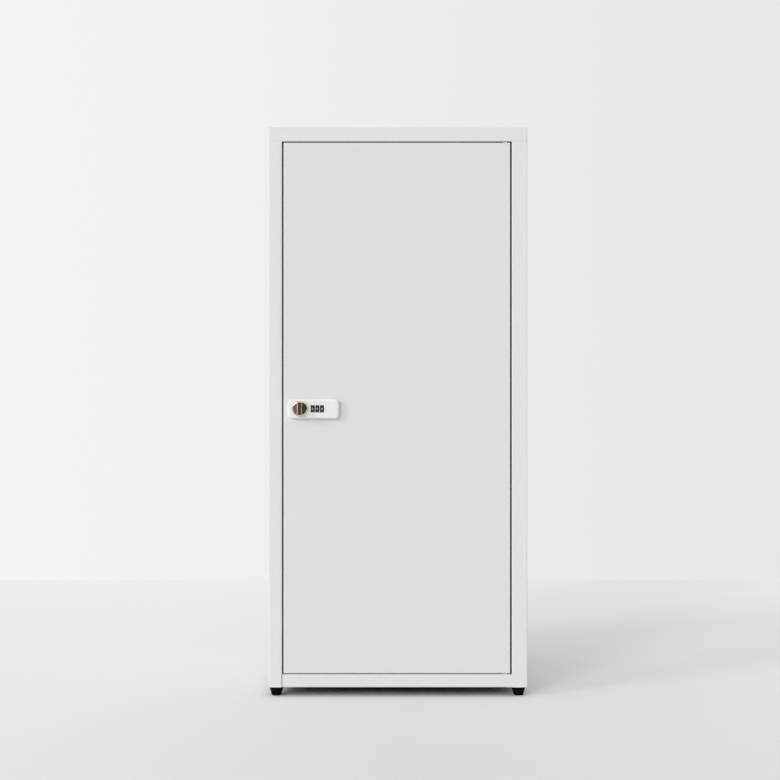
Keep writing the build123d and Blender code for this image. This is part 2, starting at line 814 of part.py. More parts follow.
with BuildPart() as lock_rear_cover:
    with BuildSketch(facing_front(cover_back_y)):
        with Locations((lock_x, lock_z)):
            RectangleRounded(cover_length, cover_height, body_corner_radius + cover_side_wall)
    extrude(amount=cover_depth)
    chamfer(lock_rear_cover.faces().sort_by(Axis.Y)[-1].edges(), length=cover_edge)
    with BuildSketch(facing_front(door_inner_y + cover_flange_thickness)):
        with Locations((lock_x, lock_z)):
            RectangleRounded(
                cover_length + 2 * cover_flange, cover_height + 2 * cover_flange, plate_corner_radius
            )
    extrude(amount=cover_flange_thickness)
    with BuildSketch(facing_front(cover_inner_y)):
        with Locations((lock_x, lock_z)):
            RectangleRounded(
                body_length + 2 * cover_clearance, body_height + 2 * cover_clearance, body_corner_radius
            )
    extrude(amount=cover_inner_y - door_inner_y, mode=Mode.SUBTRACT)
    with BuildSketch(facing_front(cover_inner_y)):
        with Locations(*[(x, lock_z) for x in axle_wall_places]):
            with Locations((axle_wall_thickness / 2, 0)):
                Rectangle(axle_wall_thickness - 2 * keeper_gap, notch_width - 2 * keeper_gap)
    extrude(amount=cover_inner_y - axle_y - axle_radius - keeper_gap)
    with BuildSketch(facing_front(cover_back_y)):
        with Locations((knob_x, lock_z)):
            Circle(spindle_radius + 2 * running_clearance)
        with Locations(*[(x, lock_z) for x in post_places]):
            Circle(lock_screw_radius + fastener_clearance)
    extrude(amount=cover_wall, mode=Mode.SUBTRACT)
lock_rear_cover.part.label = "lock_rear_cover"
export_step(lock_rear_cover.part, "parts/lock_rear_cover.step")

with BuildPart() as lock_screw:
    with BuildSketch(Plane.XY):
        with BuildLine():
            Polyline(
                (0, cover_back_y + lock_screw_head_height),
                (lock_screw_head_radius, cover_back_y + lock_screw_head_height),
                (lock_screw_head_radius, cover_back_y),
                (lock_screw_radius, cover_back_y),
                (lock_screw_radius, cover_inner_y - lock_screw_depth + fastener_clearance),
                (0, cover_inner_y - lock_screw_depth + fastener_clearance),
                close=True,
            )
        make_face()
    revolve(axis=Axis.Y)
    chamfer(lock_screw.faces().sort_by(Axis.Y)[-1].edges(), length=lock_screw_head_edge)

with BuildPart() as lock_screws:
    with Locations(*[(x, 0, lock_z) for x in post_places]):
        add(lock_screw.part)
lock_screws.part.label = "lock_screws"
export_step(lock_screws.part, "parts/lock_screws.step")


# Dial axle
with BuildPart() as dial_axle:
    with BuildSketch(facing_right(axle_left_x)):
        with Locations((axle_y, lock_z)):
            Circle(axle_radius)
    extrude(amount=axle_right_x - axle_left_x)
dial_axle.part.label = "dial_axle"
export_step(dial_axle.part, "parts/dial_axle.step")


# Code discs: each has a hub that carries a wheel, and a gate for a finger of the slide
hub_length = wheel_pitch - disc_thickness - disc_end_gap
gate_floor = disc_radius - gate_depth

with BuildPart() as code_discs:
    for disc_x in disc_places:
        with BuildSketch(facing_right(disc_x - disc_thickness / 2)):
            with Locations((axle_y, lock_z)):
                Circle(disc_radius)
                Circle(axle_radius + fit_clearance, mode=Mode.SUBTRACT)
            with Locations((axle_y, lock_z - gate_floor)):
                Rectangle(
                    gate_width, disc_radius, align=(Align.CENTER, Align.MAX), mode=Mode.SUBTRACT
                )
        extrude(amount=disc_thickness)
        with BuildSketch(facing_right(disc_x + disc_thickness / 2)):
            with Locations((axle_y, lock_z)):
                Circle(hub_radius)
                Circle(axle_radius + fit_clearance, mode=Mode.SUBTRACT)
        extrude(amount=hub_length)
code_discs.part.label = "code_discs"
export_step(code_discs.part, "parts/code_discs.step")


# Dial wheels: a groove between each two digits, for the fingertip and the detent spring
digit_pitch = 360 / digits_per_wheel
groove_side = wheel_groove_depth * sqrt(2)

for number, wheel_x in enumerate(wheel_places, start=1):
    with BuildPart() as dial_wheel:
        with BuildSketch(facing_right(wheel_x - wheel_width / 2)):
            with Locations((axle_y, lock_z)):
                Circle(wheel_radius)
        extrude(amount=wheel_width)
        rims = dial_wheel.edges().filter_by(GeomType.CIRCLE)
        chamfer(rims, length=wheel_edge)
        with BuildSketch(facing_right(wheel_x - wheel_width / 2)):
            with Locations((axle_y, lock_z)):
                Circle(hub_radius + running_clearance)
                with PolarLocations(wheel_radius, digits_per_wheel, start_angle=digit_pitch / 2):
                    Rectangle(groove_side, groove_side, rotation=45)
        extrude(amount=wheel_width, mode=Mode.SUBTRACT)
    dial_wheel.part.label = f"dial_wheel_{number}"
    export_step(dial_wheel.part, f"parts/dial_wheel_{number}.step")


# Detent spring: a strip against the rear cover, with a finger bent down to each wheel. The
# fingertips stand over the groove that lies half a digit above the level of the axle.
tip_angle = radians(digit_pitch / 2)
tip_reach = wheel_radius + spring_tip_gap + spring_thickness + spring_bend_radius / 2
spring_tip = (axle_y + tip_reach * cos(tip_angle), lock_z + tip_reach * sin(tip_angle))
spring_back_y = cover_inner_y - spring_thickness
spring_top_z = lock_z + cavity_height / 2 - fold_clearance
spring_finger = [
    (spring_back_y, spring_top_z),
    (spring_back_y, spring_top_z - spring_base_height),
    spring_tip,
    (spring_tip[0] + spring_bend_radius, spring_tip[1] - 2 * spring_bend_radius),
]
spring_left = wheel_places[0] - wheel_width / 2
spring_right = wheel_places[-1] + wheel_width / 2

with BuildPart() as detent_spring:
    with Locations((spring_left, spring_back_y, spring_top_z - spring_base_height + spring_bend_radius)):
        Box(
            spring_right - spring_left,
            spring_thickness,
            spring_base_height - spring_bend_radius,
            align=low_corner,
        )
    for wheel_x in wheel_places:
        with BuildSketch(facing_right(wheel_x - spring_finger_width / 2)):
            with BuildLine():
                FilletPolyline(*spring_finger, radius=spring_bend_radius)
                offset(amount=spring_thickness, side=Side.LEFT)
            make_face()
        extrude(amount=spring_finger_width)
detent_spring.part.label = "detent_spring"
export_step(detent_spring.part, "parts/detent_spring.step")


# Locking slide: a plate with a yoke round the eccentric, a slot over the guide and, at each
# code disc, a finger that stands in the disc's gate while the lock is open
finger_top_z = lock_z - gate_floor - finger_gap
finger_arm_top_z = lock_z - disc_radius - finger_gap
slide_bottom_z = finger_arm_top_z - finger_arm_height
yoke_opening_height = 2 * (eccentric_radius + yoke_clearance)
guide_slot_width = 2 * (guide_radius + running_clearance)
guide_slot_height = guide_slot_width + slide_travel + 2 * yoke_clearance
guide_slot_z = lock_z + slide_travel / 2
guide_lug_top_z = guide_slot_z + guide_slot_height / 2 + guide_web

with BuildPart() as locking_slide:
    with BuildSketch(facing_front(slide_back_y)):
        with Locations((yoke_left, yoke_middle_z)):
            Rectangle(
                yoke_right - yoke_left,
                yoke_opening_height + 2 * slide_web,
                align=(Align.MIN, Align.CENTER),
            )
        with Locations((yoke_left, slide_bottom_z)):
            Rectangle(slide_right - yoke_left, slide_bar_height, align=corner)
        with Locations((guide_x, slide_bottom_z)):
            Rectangle(
                2 * (slide_right - guide_x),
                guide_lug_top_z - slide_bottom_z,
                align=(Align.CENTER, Align.MIN),
            )
        with Locations((yoke_opening_left, yoke_middle_z)):
            Rectangle(
                yoke_opening_right - yoke_opening_left,
                yoke_opening_height,
                align=(Align.MIN, Align.CENTER),
                mode=Mode.SUBTRACT,
            )
        with Locations((guide_x, guide_slot_z)):
            Rectangle(guide_slot_width, guide_slot_height, mode=Mode.SUBTRACT)
    extrude(amount=slide_thickness)
    for disc_x in disc_places:
        with BuildSketch(facing_right(disc_x - disc_thickness / 2)):
            with Locations((axle_y - finger_tip_width / 2, slide_bottom_z)):
                Rectangle(
                    slide_back_y - axle_y + finger_tip_width / 2, finger_arm_height, align=corner
                )
                Rectangle(finger_tip_width, finger_top_z - slide_bottom_z, align=corner)
        extrude(amount=disc_thickness)
locking_slide.part.label = "locking_slide"
export_step(locking_slide.part, "parts/locking_slide.step")


# Knob: a round base with a grip bar left standing between two finger scoops
scoop_front_y = knob_front_y - knob_edge_radius
scoop_side_x = knob_radius + knob_edge_radius

with BuildPart() as knob:
    with BuildSketch(spindle_plane):
        with BuildLine():
            Polyline(
                (0, knob_front_y),
                (knob_front_radius, knob_front_y),
                (knob_radius, knob_base_y),
                (knob_radius, knob_back_y),
                (0, knob_back_y),
                close=True,
            )
        make_face()
    revolve(axis=spindle_axis)
    with BuildSketch(spindle_plane.offset(-scoop_side_x)) as scoops:
        with BuildLine():
            Polyline(
                (grip_front_width / 2, scoop_front_y),
                (grip_width / 2, knob_base_y),
                (scoop_side_x, knob_base_y),
                (scoop_side_x, scoop_front_y),
                close=True,
            )
        make_face()
        fillet(scoops.vertices().group_by(Axis.Y)[-1].sort_by(Axis.X)[0], radius=grip_root_radius)
        mirror(about=Plane.YZ.offset(knob_x))
    extrude(amount=2 * scoop_side_x, mode=Mode.SUBTRACT)
    fillet(knob.faces().sort_by(Axis.Y)[0].edges(), radius=knob_edge_radius)
    with BuildSketch(facing_front(knob_back_y)):
        with Locations((knob_x, lock_z)):
            Circle(spigot_radius + fit_clearance)
    extrude(amount=spigot_length, mode=Mode.SUBTRACT)
knob.part.label = "knob"
export_step(knob.part, "parts/knob.step")

with BuildPart() as knob_washer:
    with BuildSketch(facing_front(plate_front_y)):
        with Locations((knob_x, lock_z)):
            Circle(knob_washer_radius)
            Circle(spindle_radius + running_clearance, mode=Mode.SUBTRACT)
    extrude(amount=knob_washer_thickness)
knob_washer.part.label = "knob_washer"
export_step(knob_washer.part, "parts/knob_washer.step")


# Knob spindle: spigot, journal with the eccentric and the clip's groove, and square tang
groove_radius = spindle_radius - clip_groove_depth
eccentric_x = knob_x + eccentric_offset * cos(radians(45))
eccentric_z = lock_z + eccentric_offset * sin(radians(45))
eccentric_front_y = slide_front_y - eccentric_side_gap
eccentric_back_y = slide_back_y + eccentric_side_gap
tang_back_y = cam_back_y - fastener_clearance

with BuildPart() as knob_spindle:
    with BuildSketch(spindle_plane):
        with BuildLine():
            Polyline(
                (0, knob_back_y - spigot_length + fastener_clearance),
                (spigot_radius, knob_back_y - spigot_length + fastener_clearance),
                (spigot_radius, knob_back_y),
                (spindle_radius, knob_back_y),
                (spindle_radius, clip_front_y),
                (groove_radius, clip_front_y),
                (groove_radius, clip_back_y),
                (spindle_radius, clip_back_y),
                (spindle_radius, cam_front_y),
                (0, cam_front_y),
                close=True,
            )
        make_face()
    revolve(axis=spindle_axis)
    with BuildSketch(facing_front(eccentric_back_y)):
        with Locations((eccentric_x, eccentric_z)):
            Circle(eccentric_radius)
    extrude(amount=eccentric_back_y - eccentric_front_y)
    with BuildSketch(facing_front(tang_back_y)):
        with Locations((knob_x, lock_z)):
            Rectangle(tang_width, tang_width)
    extrude(amount=tang_back_y - cam_front_y)
    with BuildSketch(facing_front(tang_back_y)):
        with Locations((knob_x, lock_z)):
            Circle(cam_screw_radius + fit_clearance)
    extrude(amount=cam_screw_depth, mode=Mode.SUBTRACT)
knob_spindle.part.label = "knob_spindle"
export_step(knob_spindle.part, "parts/knob_spindle.step")


# Spindle clip: an open ring in the groove behind the rear cover
with BuildPart() as spindle_clip:
    with BuildSketch(facing_front(clip_back_y)):
        with Locations((knob_x, lock_z)):
            Circle(clip_radius)
            Circle(groove_radius + fit_clearance, mode=Mode.SUBTRACT)
            Rectangle(
                2 * groove_radius * cos(radians(45)),
                2 * clip_radius,
                align=(Align.CENTER, Align.MAX),
                mode=Mode.SUBTRACT,
            )
    extrude(amount=clip_thickness)
spindle_clip.part.label = "spindle_clip"
export_step(spindle_clip.part, "parts/spindle_clip.step")


# Lock cam: hangs down while the lock is open, and turns behind the latch stile to lock
with BuildPart() as lock_cam:
    with BuildSketch(facing_front(cam_back_y)):
        with Locations((knob_x, lock_z)):
            Circle(cam_hub_radius)
        with Locations((knob_x, lock_z - cam_length + cam_tip_radius)):
            Circle(cam_tip_radius)
        make_hull()
        with Locations((knob_x, lock_z)):
            Rectangle(
                tang_width + 2 * fit_clearance, tang_width + 2 * fit_clearance, mode=Mode.SUBTRACT
            )
    extrude(amount=cam_thickness)
lock_cam.part.label = "lock_cam"
export_step(lock_cam.part, "parts/lock_cam.step")

with BuildPart() as cam_washer:
    with BuildSketch(facing_front(cam_back_y + cam_washer_thickness)):
        with Locations((knob_x, lock_z)):
            Circle(cam_washer_radius)
            Circle(cam_screw_radius + fastener_clearance, mode=Mode.SUBTRACT)
    extrude(amount=cam_washer_thickness)
cam_washer.part.label = "cam_washer"
export_step(cam_washer.part, "parts/cam_washer.step")

cam_screw_seat_y = cam_back_y + cam_washer_thickness
with BuildPart() as cam_screw:
    with BuildSketch(facing_front(cam_screw_seat_y + cam_screw_head_height)):
        with Locations((knob_x, lock_z)):
            RegularPolygon(cam_screw_flats / 2, 6, major_radius=False)
    extrude(amount=cam_screw_head_height)
    with BuildSketch(facing_front(cam_screw_seat_y)):
        with Locations((knob_x, lock_z)):
            Circle(cam_screw_radius)
    extrude(amount=cam_screw_seat_y - tang_back_y + cam_screw_depth - fastener_clearance)
cam_screw.part.label = "cam_screw"
export_step(cam_screw.part, "parts/cam_screw.step")


# The door's front corner must swing past the hinge stile, and its rear one past the rail
corner_reach = sqrt(hinge_inset_x**2 + hinge_inset_y**2)
print("front_y", front_y, "back_y", back_y, "lock_z", lock_z)
print("hinge at", hinge_x, hinge_y, "door corner reach", round(corner_reach, 2))
print("room to the hinge stile", round(opening_right - hinge_x - corner_reach, 2))
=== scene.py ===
# %% [markdown]
# # A steel locker with one door and a three-dial lock
#
# The locker is folded from thin sheet steel and powder coated white. One door fills the
# front, hung on two pins at its right edge. At its left edge sits a small white lock with
# three black number wheels and a bright turn knob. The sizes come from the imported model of
# the locker, and this lesson gives it its finishes, its small hardware and its studio.

import math

import bmesh
import bpy
import numpy as np
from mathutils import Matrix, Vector


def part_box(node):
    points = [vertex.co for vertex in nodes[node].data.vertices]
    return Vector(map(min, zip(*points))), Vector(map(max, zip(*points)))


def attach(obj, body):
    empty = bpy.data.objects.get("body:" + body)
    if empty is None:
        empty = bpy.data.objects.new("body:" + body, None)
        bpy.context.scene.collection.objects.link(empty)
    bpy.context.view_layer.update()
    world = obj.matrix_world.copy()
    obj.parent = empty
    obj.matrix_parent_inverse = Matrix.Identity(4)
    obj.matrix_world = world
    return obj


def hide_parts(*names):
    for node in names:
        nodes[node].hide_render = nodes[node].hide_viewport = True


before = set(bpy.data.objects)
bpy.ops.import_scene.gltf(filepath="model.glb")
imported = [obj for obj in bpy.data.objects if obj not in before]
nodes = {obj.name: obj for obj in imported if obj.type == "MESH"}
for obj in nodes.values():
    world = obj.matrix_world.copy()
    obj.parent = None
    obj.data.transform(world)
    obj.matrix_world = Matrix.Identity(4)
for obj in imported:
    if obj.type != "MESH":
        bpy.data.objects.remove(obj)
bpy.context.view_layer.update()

# %% [markdown]
# ## Grids of points
#
# Each new piece is a surface worked out with numpy: a grid of points that is a function of
# two parameters, put into a mesh in one go. The helper joins neighbouring points with
# four-sided faces, closes the grid on itself where it is asked to, and merges the points
# that fall together at a pole, so that no piece has a hole.

# %% Turn a grid of points into a mesh piece
MM = 0.001


def surface_from_grid(name, points, close_rows=False, close_columns=False):
    """Mesh piece through a grid of points (rows, columns, xyz) in millimetres, or a stack of them.

    Point (i, j) is joined to (i+1, j), (i+1, j+1) and (i, j+1). A closed direction joins its
    last line of points to its first. Each further grid of a stack starts counting where the
    one before it ended.
    """
    points = points.reshape(-1, *points.shape[-3:])
    copies, rows, columns = points.shape[:3]
    i = np.arange(rows if close_rows else rows - 1)[:, None]
    j = np.arange(columns if close_columns else columns - 1)[None, :]
    next_i, next_j = (i + 1) % rows, (j + 1) % columns
    quads = np.stack(
        [i * columns + j, next_i * columns + j, next_i * columns + next_j, i * columns + next_j],
        axis=-1,
    ).reshape(1, -1, 4)
    quads = (quads + np.arange(copies)[:, None, None] * rows * columns).reshape(-1, 4)
    mesh = bpy.data.meshes.new(name)
    mesh.from_pydata((points.reshape(-1, 3) * MM).tolist(), [], quads.tolist())
    piece = bpy.data.objects.new(name, mesh)
    bpy.context.scene.collection.objects.link(piece)
    return piece


def tidy_surface(piece, sharp_angle=35.0):
    """Merges the points that coincide, turns the faces outwards and shades the piece smooth
    except along edges that turn by more than the sharp angle, in degrees."""
    work = bmesh.new()
    work.from_mesh(piece.data)
    bmesh.ops.remove_doubles(work, verts=work.verts, dist=1e-6)
    bmesh.ops.dissolve_degenerate(work, edges=work.edges, dist=1e-7)
    bmesh.ops.recalc_face_normals(work, faces=work.faces)
    for face in work.faces:
        face.smooth = True
    for edge in work.edges:
        turns_little = edge.calc_face_angle(0) < math.radians(sharp_angle)
        edge.smooth = len(edge.link_faces) == 2 and turns_little
    work.to_mesh(piece.data)
    work.free()
    piece.data.update()
    return piece


print("grid helper ready")

# %% [markdown]
# ## Profiles with rounded corners
#
# Turned and moulded pieces rarely have a knife-sharp corner. A profile is written as a few
# corner points with a radius each, and the helper swaps each corner for an arc that touches
# both of its sides. Those arcs are what catches the light on a real edge.


# %% Round the corners of a profile
def rounded_profile(corners, radii, steps=5):
    """Points along an open polyline whose inner corners are arcs.

    At a corner with radius r and turning angle a, the arc starts r * tan(a / 2) before the
    corner. Its centre is r to the side that the line turns to, and its points are the first
    spoke from that centre turned step by step through a.
    """
    corners = np.asarray(corners, float)
    parts = [corners[:1]]
    for before, corner, after, radius in zip(corners, corners[1:], corners[2:], radii):
        heading = (corner - before) / np.linalg.norm(corner - before)
        leaving = (after - corner) / np.linalg.norm(after - corner)
        turn = math.atan2(heading[0] * leaving[1] - heading[1] * leaving[0], heading @ leaving)
        inward = math.copysign(1, turn) * np.array([-heading[1], heading[0]])
        start = corner - heading * radius * math.tan(abs(turn) / 2)
        centre, spoke = start + inward * radius, -inward * radius
        angle = np.linspace(0, turn, steps + 1)
        across = spoke[0] * np.cos(angle) - spoke[1] * np.sin(angle)
        up = spoke[0] * np.sin(angle) + spoke[1] * np.cos(angle)
        parts.append(centre + np.stack([across, up], axis=-1))
    parts.append(corners[-1:])
    return np.concatenate(parts)


def turned_points(profile, centre, axis="z", around=64):
    """Grid of a piece turned on a lathe: a profile of (radius, height) carried round an axis.

    A point at angle a is (radius * cos a, radius * sin a) off the axis, at its own height.
    """
    angle = np.linspace(0, 2 * math.pi, around, endpoint=False)[:, None]
    radius, height = profile[:, 0][None, :], profile[:, 1][None, :]
    across, up = radius * np.cos(angle), radius * np.sin(angle)
    along = np.broadcast_to(height, across.shape)
    order = {"z": (across, up, along), "y": (across, along, up)}[axis]
    return np.stack(order, axis=-1) + np.asarray(centre, float)


corner_demo = rounded_profile([(0, 0), (10, 0), (10, 10)], [2.0])
print("a square corner becomes", len(corner_demo) - 2, "points")

# %% [markdown]
# ## Nodes of a shader
#
# The floor, the room and the finishes are made of the same few nodes. Each helper adds one
# node to a node tree and gives back its output, so that helpers nest like a formula. What
# goes into a node is either another output or a plain number or colour.


# %% Nodes that blend and combine
def feed(tree, socket, value):
    """Links an output to a socket, or sets the socket to a number or a colour."""
    if isinstance(value, bpy.types.NodeSocket):
        tree.links.new(value, socket)
    else:
        socket.default_value = (*value, 1) if isinstance(value, tuple) else value


def blend(tree, value, start, end, course="SMOOTHSTEP"):
    """Change from 0 to 1 while the value goes from start to end."""
    node = tree.nodes.new("ShaderNodeMapRange")
    node.interpolation_type = course
    feed(tree, node.inputs["From Min"], start)
    feed(tree, node.inputs["From Max"], end)
    feed(tree, node.inputs["Value"], value)
    return node.outputs["Result"]


def combine(tree, operation, first, second=0.0):
    """Product, difference, maximum or other result of two values."""
    node = tree.nodes.new("ShaderNodeMath")
    node.operation = operation
    feed(tree, node.inputs[0], first)
    feed(tree, node.inputs[1], second)
    return node.outputs[0]


def colour_between(tree, factor, first, second, blend_type="MIX"):
    """Colour that goes from the first to the second as the factor goes from 0 to 1."""
    node = tree.nodes.new("ShaderNodeMix")
    node.data_type = "RGBA"
    node.blend_type = blend_type
    feed(tree, node.inputs["Factor"], factor)
    feed(tree, node.inputs["A"], first)
    feed(tree, node.inputs["B"], second)
    return node.outputs["Result"]


def place_along(tree, axis, coordinates="Object"):
    """Output that gives the place, or in the world the direction, along one axis."""
    where = tree.nodes.new("ShaderNodeTexCoord")
    split = tree.nodes.new("ShaderNodeSeparateXYZ")
    tree.links.new(where.outputs[coordinates], split.inputs[0])
    return split.outputs[axis]


print("node helpers ready")

# %% [markdown]
# ## The floor and the room behind it
#
# The locker stands on a plain pale floor in front of a white wall. The floor is a real
# surface, because it has to take the locker's soft shadow. The wall is far out of focus and
# shows nothing, so it is left to the world's colour: the floor simply ends where the wall
# would begin. That way the locker can also be looked at from behind. A pool of window light
# is painted into the floor's colour: painted light makes it paler to the left, to the right and
# towards the wall, and painted shade makes it a little greyer just in front of the locker.
# A mirror finds it painted dark beyond the camera, a painted reflection of the dark hall.
# The floor, the camera and the room are set in metres, the pieces in millimetres.

# %% Lay the floor
FLOOR_BACK = 1.282
FLOOR_REACH = 20.0
# Floor colours with painted light: a painted pool of window light to the left, the right and the
# back, and painted shade in the middle front.
FLOOR_LIT_LEFT = (0.875, 0.878, 0.882)
FLOOR_SHADED_MIDDLE = (0.785, 0.787, 0.791)
FLOOR_LIT_RIGHT = (0.83, 0.832, 0.836)
FLOOR_LIT_BACK = (0.935, 0.935, 0.935)
# Floor colour seen only in mirrors far in front: a painted reflection of the dark hall.
PAINTED_HALL_REFLECTION = (0.05, 0.035, 0.025)

floor_grid = np.array(
    [
        [[-FLOOR_REACH, -FLOOR_REACH, 0], [FLOOR_REACH, -FLOOR_REACH, 0]],
        [[-FLOOR_REACH, FLOOR_BACK, 0], [FLOOR_REACH, FLOOR_BACK, 0]],
    ]
)
floor = surface_from_grid("studio_floor", floor_grid / MM)
floor_paint = bpy.data.materials.new("pale_floor")
floor_paint.use_nodes = True
paint_tree = floor_paint.node_tree


def floor_change(axis, start, end):
    """Even change from 0 to 1 between two places on the floor, in metres."""
    return blend(paint_tree, place_along(paint_tree, axis), start, end, course="LINEAR")


# Painted light and shade in the floor's colour: paler to the left, the right and towards the wall,
# greyer in front of the locker.
floor_colour_with_painted_light = colour_between(paint_tree, floor_change("X", -0.5, 0.0), FLOOR_LIT_LEFT, FLOOR_SHADED_MIDDLE)
floor_colour_with_painted_light = colour_between(paint_tree, floor_change("X", 0.1, 0.55), floor_colour_with_painted_light, FLOOR_LIT_RIGHT)
floor_colour_with_painted_light = colour_between(paint_tree, floor_change("Y", -0.6, FLOOR_BACK), floor_colour_with_painted_light, FLOOR_LIT_BACK)
floor_ray = paint_tree.nodes.new("ShaderNodeLightPath")
# Painted reflection: for mirrors only, the floor far in front turns as dark as the hall.
far_in_mirror = combine(
    paint_tree, "MULTIPLY", floor_ray.outputs["Is Glossy Ray"], floor_change("Y", -4.0, -6.0)
)
floor_colour_with_painted_light = colour_between(paint_tree, far_in_mirror, floor_colour_with_painted_light, PAINTED_HALL_REFLECTION)
floor_shader = paint_tree.nodes["Principled BSDF"]
feed(paint_tree, floor_shader.inputs["Base Color"], floor_colour_with_painted_light)
feed(paint_tree, floor_shader.inputs["Roughness"], 0.9)
feed(paint_tree, floor_shader.inputs["Specular IOR Level"], 0.0)
floor.data.materials.append(floor_paint)
print("floor ends", FLOOR_BACK, "m behind the origin")

# %% [markdown]
# ## Camera
#
# The picture was taken straight from the front with the sides of the locker upright in it,
# so the camera is level. Its height, distance and lens are set so that one millimetre on the
# front of the locker is 0.647 pixels of a 780 pixel picture.

# %% Set up the camera
FRONT_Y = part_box("left_side_panel")[0].y
CAMERA_DISTANCE = 2.4
CAMERA_X = -0.0124
CAMERA_HEIGHT = 0.4736
PIXELS_PER_METRE = 647.1
PICTURE_SIDE = 780
SENSOR_WIDTH = 36.0
camera_data = bpy.data.cameras.new("studio_camera")
camera_data.sensor_width = SENSOR_WIDTH
camera_data.lens = SENSOR_WIDTH * PIXELS_PER_METRE * CAMERA_DISTANCE / PICTURE_SIDE
camera = bpy.data.objects.new("studio_camera", camera_data)
camera.location = (CAMERA_X, FRONT_Y - CAMERA_DISTANCE, CAMERA_HEIGHT)
camera.rotation_euler = (math.radians(90), 0, 0)
bpy.context.scene.collection.objects.link(camera)
bpy.context.scene.camera = camera
print("lens", round(camera_data.lens, 2), "mm")

# %% [markdown]
# ## Light
#
# The locker stands in a bright white hall. Light comes from the walls, the ceiling and two
# large windows in front of it at the left. They are so far away that they light the whole
# floor alike, so each is a sun lamp, made as wide as the window looks from the locker. One is
# well to the side and throws the faint shadow on the floor, the other is nearer the camera
# and gives the lock its small shadow on the door. The depth of the hall, low behind the
# camera, is dark. That is why the slit under the locker is nearly black and why the turn knob
# mirrors brown. The world holds that hall: what the camera sees past the floor is its wall, a
# mirror sees the wall, the dark depth and a warm patch at its left, and everything else is
# lit by the walls and the ceiling.

# %% Light the room
ROOM_LIGHT = 0.79
ROOM_TINT = (1.0, 0.985, 0.955)
DARK_LIGHT = (0.045, 0.036, 0.03)
WINDOW_TINT = (0.965, 0.98, 1.0)
# The wall's colour falls off from left to right: painted light from the windows at the left.
WALL_LEFT = (0.893, 0.893, 0.893)
WALL_RIGHT = (0.815, 0.805, 0.79)
MIRROR_MIDDLE = (0.11, 0.075, 0.05)
MIRROR_LEFT = (0.34, 0.165, 0.165)
MIRROR_RIGHT = (0.035, 0.024, 0.017)
MIRROR_CORNER = (0.36, 0.30, 0.26)

bpy.context.scene.view_settings.view_transform = "Standard"
world = bpy.data.worlds.new("studio_room")
bpy.context.scene.world = world
world.use_nodes = True
tree = world.node_tree
tree.nodes.clear()


def background(colour, strength=1.0):
    """Background shader of a colour or of a colour output."""
    node = tree.nodes.new("ShaderNodeBackground")
    feed(tree, node.inputs["Strength"], strength)
    feed(tree, node.inputs["Color"], colour)
    return node.outputs[0]


def shader_between(factor, first, second):
    """Shader that is the first where the factor is 0 and the second where it is 1."""
    node = tree.nodes.new("ShaderNodeMixShader")
    for socket, value in zip(node.inputs, (factor, first, second)):
        feed(tree, socket, value)
    return node.outputs[0]


def facing(axis, start, end):
    """Smooth change from 0 to 1 between two directions, as shares of the axis."""
    return blend(tree, place_along(tree, axis, "Generated"), start, end)


ray = tree.nodes.new("ShaderNodeLightPath").outputs
# Painted light on the wall: brighter at the left, nearer the windows, and shaded at the right.
wall = colour_between(tree, facing("X", -0.25, 0.25), WALL_LEFT, WALL_RIGHT)
dark_room = combine(tree, "MULTIPLY", facing("Y", -0.1, -0.55), facing("Z", 0.5, 0.2))
dark_sides = colour_between(tree, facing("X", -0.05, -0.35), MIRROR_MIDDLE, MIRROR_LEFT)
dark_sides = colour_between(tree, facing("X", 0.1, 0.45), dark_sides, MIRROR_RIGHT)
dark_corner = combine(tree, "MULTIPLY", facing("X", 0.6, 1.0), facing("Y", 0.5, 0.0))
mirror_wall = colour_between(tree, dark_corner, wall, MIRROR_CORNER)
mirrored = colour_between(tree, dark_room, mirror_wall, dark_sides)
lit = colour_between(tree, dark_room, ROOM_TINT, DARK_LIGHT)
mirror_ray = combine(tree, "MAXIMUM", ray["Is Glossy Ray"], ray["Is Transmission Ray"])
around = shader_between(mirror_ray, background(lit, ROOM_LIGHT), background(mirrored))
room = shader_between(ray["Is Camera Ray"], around, background(wall))
tree.links.new(room, tree.nodes.new("ShaderNodeOutputWorld").inputs["Surface"])


def add_window(name, towards, spread_degrees, strength):
    """Light of a window far away in a direction from the locker, as wide as its spread."""
    lamp = bpy.data.lights.new(name, "SUN")
    lamp.angle = math.radians(spread_degrees)
    lamp.energy = strength
    lamp.color = WINDOW_TINT
    holder = bpy.data.objects.new(name, lamp)
    holder.location = towards
    holder.rotation_euler = (-Vector(towards)).to_track_quat("-Z", "Y").to_euler()
    bpy.context.scene.collection.objects.link(holder)


add_window("side_window", (-1.66, -1.0, 0.71), 17.8, 0.76)
add_window("front_window", (-1.06, -2.0, 0.74), 16.7, 0.86)
print("room light", ROOM_LIGHT)

# %% [markdown]
# ## Finishes
#
# The finishes are built from nodes on each piece's own Object coordinates, which are in
# metres because every piece sits at the origin. Three things make a plain colour look like
# a real coat or casting: a faint change of tone over the surface, a roughness that isn't
# quite even, and a fine bump at the scale of the real grain.


# %% A finish with tone, uneven gloss and grain
def new_finish(name, colour, roughness, metallic=0.0, **sockets):
    """Material with one Principled shader whose plain values are set on its own sockets."""
    finish = bpy.data.materials.new(name)
    finish.use_nodes = True
    shader = finish.node_tree.nodes["Principled BSDF"]
    shader.inputs["Base Color"].default_value = (*colour, 1)
    shader.inputs["Roughness"].default_value = roughness
    shader.inputs["Metallic"].default_value = metallic
    for socket, value in sockets.items():
        shader.inputs[socket.replace("_", " ")].default_value = value
    return finish


NOISE_SPAN = (0.3, 0.7)


